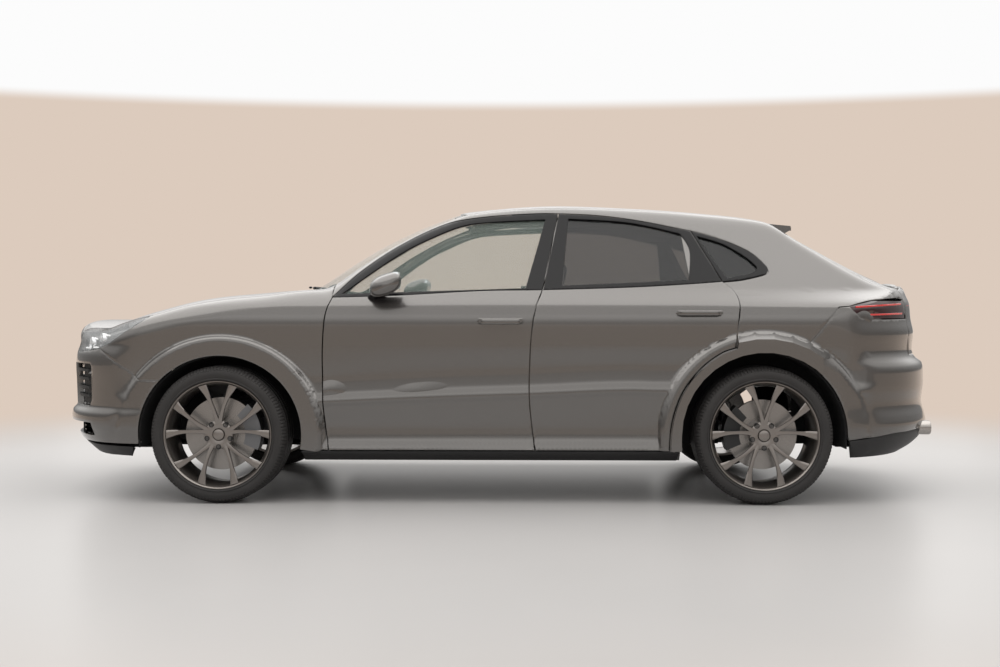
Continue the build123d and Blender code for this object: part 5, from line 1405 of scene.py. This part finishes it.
def parked(ys, behind, above):
    """Places of a parked wiper over the cowl, in metres, this far behind its line and above the skin."""
    line = [float(WINDSCREEN_BASE_X - 26 + 175 * (y / BOW_HALF) ** 2) for y in ys]
    return np.array([(x + behind, y, float(skin_z(x + 42, y)) + above) for x, y in zip(line, ys)]) * MM


for side, blade_y, arm_part in ((-1, np.linspace(-560, -20, 30), slice(4, 20)),
                                (1, np.linspace(30, 600, 30), slice(16))):
    wiper = join("wiper", swept("blade", parked(blade_y, 42, 13), oval(0.006, 0.008, 8)),
                 swept("arm", parked(blade_y[arm_part], 20, 16), oval(0.007, 0.006, 8)))
    show(f"wiper_{side_name(side)}", wiper, shadow_plastic, "body", 40)
cowl_sheet = sheet_mesh("cowl", top_skin,
                        top_outline((WINDSCREEN_BASE_X - 36, 178), (WINDSCREEN_BASE_X + 6, 165), 2))
panel("cowl_cover", cowl_sheet, shadow_plastic, "body", "black_plastic", wall=0.004, lift=-0.004)

# ---- underbody ------------------------------------------------------------------------------------
# What carries the car: electro-coated pressed steel, a cast aluminium engine and knuckles, a stainless
# exhaust, and liners of black felt, pressed to shape, in the wheel housings and under the body.
e_coat = grained("electro_coated_steel", ("#141516", "#1e1f20"), 14, (0.38, 0.55), 0.2)
cast_alloy = grained("sand_cast_aluminium", ("#6c6d6f", "#818284"), 3, (0.42, 0.6), 0.25, Metallic=0.9)
carpet = grained("needled_polyester_felt", ("#0d0d0e", "#1b1b1c"), 4, (0.85, 1.0), 1.0)
dress(e_coat, "floor_pan", "firewall", "front_axle", "rear_axle")
dress(cast_alloy, "engine", "front_knuckle_")
dress(carpet, "wheel_housings", "undertray")

stainless, tree, output = new_material("brushed_stainless_steel")
place = add(tree, "ShaderNodeTexCoord").outputs["Object"]
# brush lines run along the car, as the pipes do; drawn 1.7 mm apart
stretch = add(tree, "ShaderNodeMapping", {"Vector": place, "Scale": (20.0, 600.0, 600.0)})
line = add(tree, "ShaderNodeTexNoise", {"Vector": stretch.outputs[0], "Scale": 1.0, "Detail": 2.0})
rough = add(tree, "ShaderNodeMapRange", {"Value": line.outputs["Fac"], "To Min": 0.16, "To Max": 0.36})
body = add(tree, "ShaderNodeBsdfPrincipled", {"Base Color": linear("#a5a19d"), "Metallic": 1.0,
                                              "Roughness": rough.outputs[0]})
tree.links.new(body.outputs[0], output.inputs["Surface"])
dress(stainless, "exhaust")

TIP_X, TIP_Y, TIP_Z, TIP_RADIUS = REAR_AXLE_X + 0.842, 0.540, 0.381, 0.036
tip_profile = [(TIP_RADIUS - 0.004, -0.13), (TIP_RADIUS + 0.001, -0.132), (TIP_RADIUS + 0.003, -0.126),
               (TIP_RADIUS + 0.002, 0.0), (TIP_RADIUS - 0.004, 0.0)]
for side in (-1, 1):
    tips = [aimed(turned("tip", tip_profile, 48), (TIP_X, side * TIP_Y + shift, TIP_Z), (1, 0, -0.01))
            for shift in (-0.046, 0.046)]
    show(f"exhaust_tips_{side_name(side)}", join("tips", *tips), stainless, "body", 40)

# ---- brakes ---------------------------------------------------------------------------------------
# Plain cast-iron discs with bare, turned faces, held between each wheel and its hub. The calipers are
# part of what carries the hubs.
turned_iron, tree, output = new_material("turned_cast_iron")
place = add(tree, "ShaderNodeTexCoord").outputs["Object"]
rings = None
for axle_x in (FRONT_AXLE_X, REAR_AXLE_X):
    centred = add(tree, "ShaderNodeVectorMath", {0: place, 1: (axle_x, 0.0, TYRE_RADIUS)},
                  operation="SUBTRACT")
    flat = add(tree, "ShaderNodeVectorMath", {0: centred.outputs[0], 1: (1.0, 0.0, 1.0)},
               operation="MULTIPLY")
    reach = add(tree, "ShaderNodeVectorMath", {0: flat.outputs[0]}, operation="LENGTH").outputs["Value"]
    rings = reach if rings is None else add(tree, "ShaderNodeMath", {0: rings, 1: reach},
                                            operation="MINIMUM").outputs[0]
# the lathe tool's feed marks, drawn 2 mm apart
phase = add(tree, "ShaderNodeMath", {0: rings, 1: 3140.0}, operation="MULTIPLY")
marks = add(tree, "ShaderNodeMath", {0: phase.outputs[0]}, operation="SINE")
rough = add(tree, "ShaderNodeMapRange",
            {"Value": marks.outputs[0], "From Min": -1.0, "To Min": 0.24, "To Max": 0.42})
body = add(tree, "ShaderNodeBsdfPrincipled", {"Base Color": linear("#8d8a87"), "Metallic": 1.0,
                                              "Roughness": rough.outputs[0]})
tree.links.new(body.outputs[0], output.inputs["Surface"])
dress(turned_iron, "brake_disc_front_", "brake_disc_rear_")

# ---- seats ----------------------------------------------------------------------------------------
# Moulded foam cushions under black grained leather, sewn in channels across and drawn in at their
# edges: two front seats with headrests, and a bench for three.
leather, tree, output = new_material("grained_black_leather")
place = add(tree, "ShaderNodeTexCoord").outputs["Object"]
# hide grain is 1 mm; drawn at 3 mm so that it shows
hide = add(tree, "ShaderNodeTexVoronoi", {"Vector": place, "Scale": 330.0})
rough = add(tree, "ShaderNodeMapRange", {"Value": hide.outputs["Distance"], "To Min": 0.5, "To Max": 0.7})
tone = add(tree, "ShaderNodeMix", {0: hide.outputs["Distance"], 6: linear("#1d1c1c"), 7: linear("#2a2928")},
           data_type="RGBA")
bump = add(tree, "ShaderNodeBump", {"Height": hide.outputs["Distance"], "Strength": 0.4, "Distance": 0.0006})
body = add(tree, "ShaderNodeBsdfPrincipled", {"Base Color": tone.outputs[2], "Roughness": rough.outputs[0],
                                              "Normal": bump.outputs[0]})
tree.links.new(body.outputs[0], output.inputs["Surface"])


def pad_mesh(centre, size, lean, channels=0, power=4.0, cuts=30):
    """A crowned pad: size is long, wide and thick, and lean turns its length up from +X, in degrees."""
    work = bmesh.new()
    bmesh.ops.create_cube(work, size=2.0)
    bmesh.ops.subdivide_edges(work, edges=work.edges[:], cuts=cuts, use_grid_fill=True)
    places = np.array([v.co for v in work.verts])
    reach = (np.abs(places) ** power).sum(1) ** (1 / power)
    places = places / reach[:, None]
    long, wide, thick = places.T
    pull = 1 - 0.035 * (1 - np.abs(thick)) ** 2
    if channels:
        seam = np.abs(np.sin(long * math.pi * channels / 2))
        thick = thick * (1 - 0.10 * np.exp(-(seam / 0.16) ** 2) * (np.abs(wide) < 0.72))
    wing = 1 + 0.22 * ramp(np.abs(wide), 0.62, 0.82) - 0.22 * ramp(np.abs(wide), 0.9, 1.0)
    local = np.stack([long * size[0] / 2 * pull, wide * size[1] / 2 * pull, thick * wing * size[2] / 2], 1)
    turn = Matrix.Rotation(-math.radians(lean), 3, "Y")
    for vert, place in zip(work.verts, local):
        vert.co = turn @ Vector(place) + Vector(centre)
    made = bpy.data.meshes.new("pad")
    work.to_mesh(made)
    work.free()
    return made


FRONT_SEAT_X, REAR_SEAT_X = -0.3255, 0.6495
SEAT_Y = 0.372
# each pad: its name, centre, size, lean and number of sewn channels
pads = []
for side in (-1, 1):
    y, name = side * SEAT_Y, side_name(side)
    pads += [(f"front_cushion_{name}", (FRONT_SEAT_X + 0.26, y, 0.53), (0.52, 0.49, 0.15), 6, 4),
             (f"front_backrest_{name}", (FRONT_SEAT_X + 0.545, y, 0.87), (0.56, 0.48, 0.13), 72, 5),
             (f"front_headrest_{name}", (FRONT_SEAT_X + 0.655, y, 1.215), (0.17, 0.25, 0.10), 74, 0)]
for name, y, wide in (("left", -0.41, 0.42), ("middle", 0.0, 0.38), ("right", 0.41, 0.42)):
    pads += [(f"rear_cushion_{name}", (REAR_SEAT_X + 0.25, y, 0.545), (0.52, wide, 0.14), 5, 4),
             (f"rear_backrest_{name}", (REAR_SEAT_X + 0.555, y, 0.88), (0.56, wide, 0.13), 68, 5)]
for name, centre, size, lean, channels in pads:
    piece = show(name, join(name, pad_mesh(centre, size, lean, channels)), leather, "body",
                 80)

# the shells under the pads are moulded, with steel posts and rails that share their black finish
shell_plastic = grained("moulded_seat_shell", ("#101011", "#191919"), 2, (0.5, 0.65), 0.2)


def shell_board(centre, size, lean):
    """A plain board of a seat's shell, squarer and coarser than a pad."""
    return pad_mesh(centre, size, lean, 0, 6.0, 10)


POST, RAIL = oval(0.006, 0.006, 12), oval(0.02, 0.03, 12)
for side in (-1, 1):
    y, name = side * SEAT_Y, side_name(side)
    parts = [shell_board((FRONT_SEAT_X + 0.26, y, 0.43), (0.46, 0.42, 0.09), 2),
             shell_board((FRONT_SEAT_X + 0.595, y, 0.86), (0.52, 0.42, 0.05), 72)]
    for shift in (-0.05, 0.05):
        parts.append(swept("post", [(FRONT_SEAT_X + 0.62 + 0.05 * k, y + shift, 1.08 + 0.13 * k)
                                    for k in (0, 0.5, 1)], POST))
    for shift in (-0.17, 0.17):
        parts.append(swept("rail", [(FRONT_SEAT_X + along, y + shift, 0.335) for along in (0.02, 0.48)],
                           RAIL))
    piece = show(f"seat_shell_{name}", join("shell", *parts), shell_plastic, "body", 40)
    if side < 0:
        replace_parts(piece, "front_seats")
BENCH_HALVES = (-0.31, 0.31)
boards = [shell_board((REAR_SEAT_X + 0.26, y, 0.46), (0.50, 0.60, 0.07), 0) for y in BENCH_HALVES]
boards += [shell_board((REAR_SEAT_X + 0.62, y, 0.87), (0.56, 0.60, 0.05), 68) for y in BENCH_HALVES]
piece = show("bench_frame", join("bench", *boards), shell_plastic, "body", 40)
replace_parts(piece, "rear_seat")

# ---- dashboard and steering wheel -----------------------------------------------------------------
# A foamed dashboard under a black skin with a gloss black display, and a leather-bound steering wheel.
dress(grained("foamed_dashboard_skin", ("#141414", "#1e1e1e"), 3, (0.55, 0.72), 0.4), "dashboard")
dress(leather, "steering_wheel")
display = pad_mesh((fore(842) * MM, 0.0, 1.062), (0.10, 0.31, 0.014), 62, 0, 8.0, 10)
show("centre_display", display, gloss_black, "body", 40)

# ---- door trims -----------------------------------------------------------------------------------
# Cards of moulded black polypropylene, clipped over each door's inner side.
FRONT_CARD = ring_of(straight((-690, 330), (150, 330)),
                     curve((150, 330), (136, 600), (150, 900), (205, 1080)),
                     straight((205, 1080), (-690, 1040)))
REAR_CARD = ring_of(straight((240, 330), (850, 330)), curve((850, 330), (930, 560), (1040, 720), (1150, 800)),
                    curve((1150, 800), (1170, 960), (1150, 1100)), straight((1150, 1100), (300, 1085)),
                    curve((300, 1085), (252, 900), (244, 600), (240, 330)))
for place, card in (("front", FRONT_CARD), ("rear", REAR_CARD)):
    panel_pair(f"{place}_door_card", sheet_mesh("card", side_skin, side_skin.by_z(card)), shadow_plastic,
               f"{place}_door_{{side}}", "black_plastic", wall=0.008, edge=0.002, lift=-0.108)
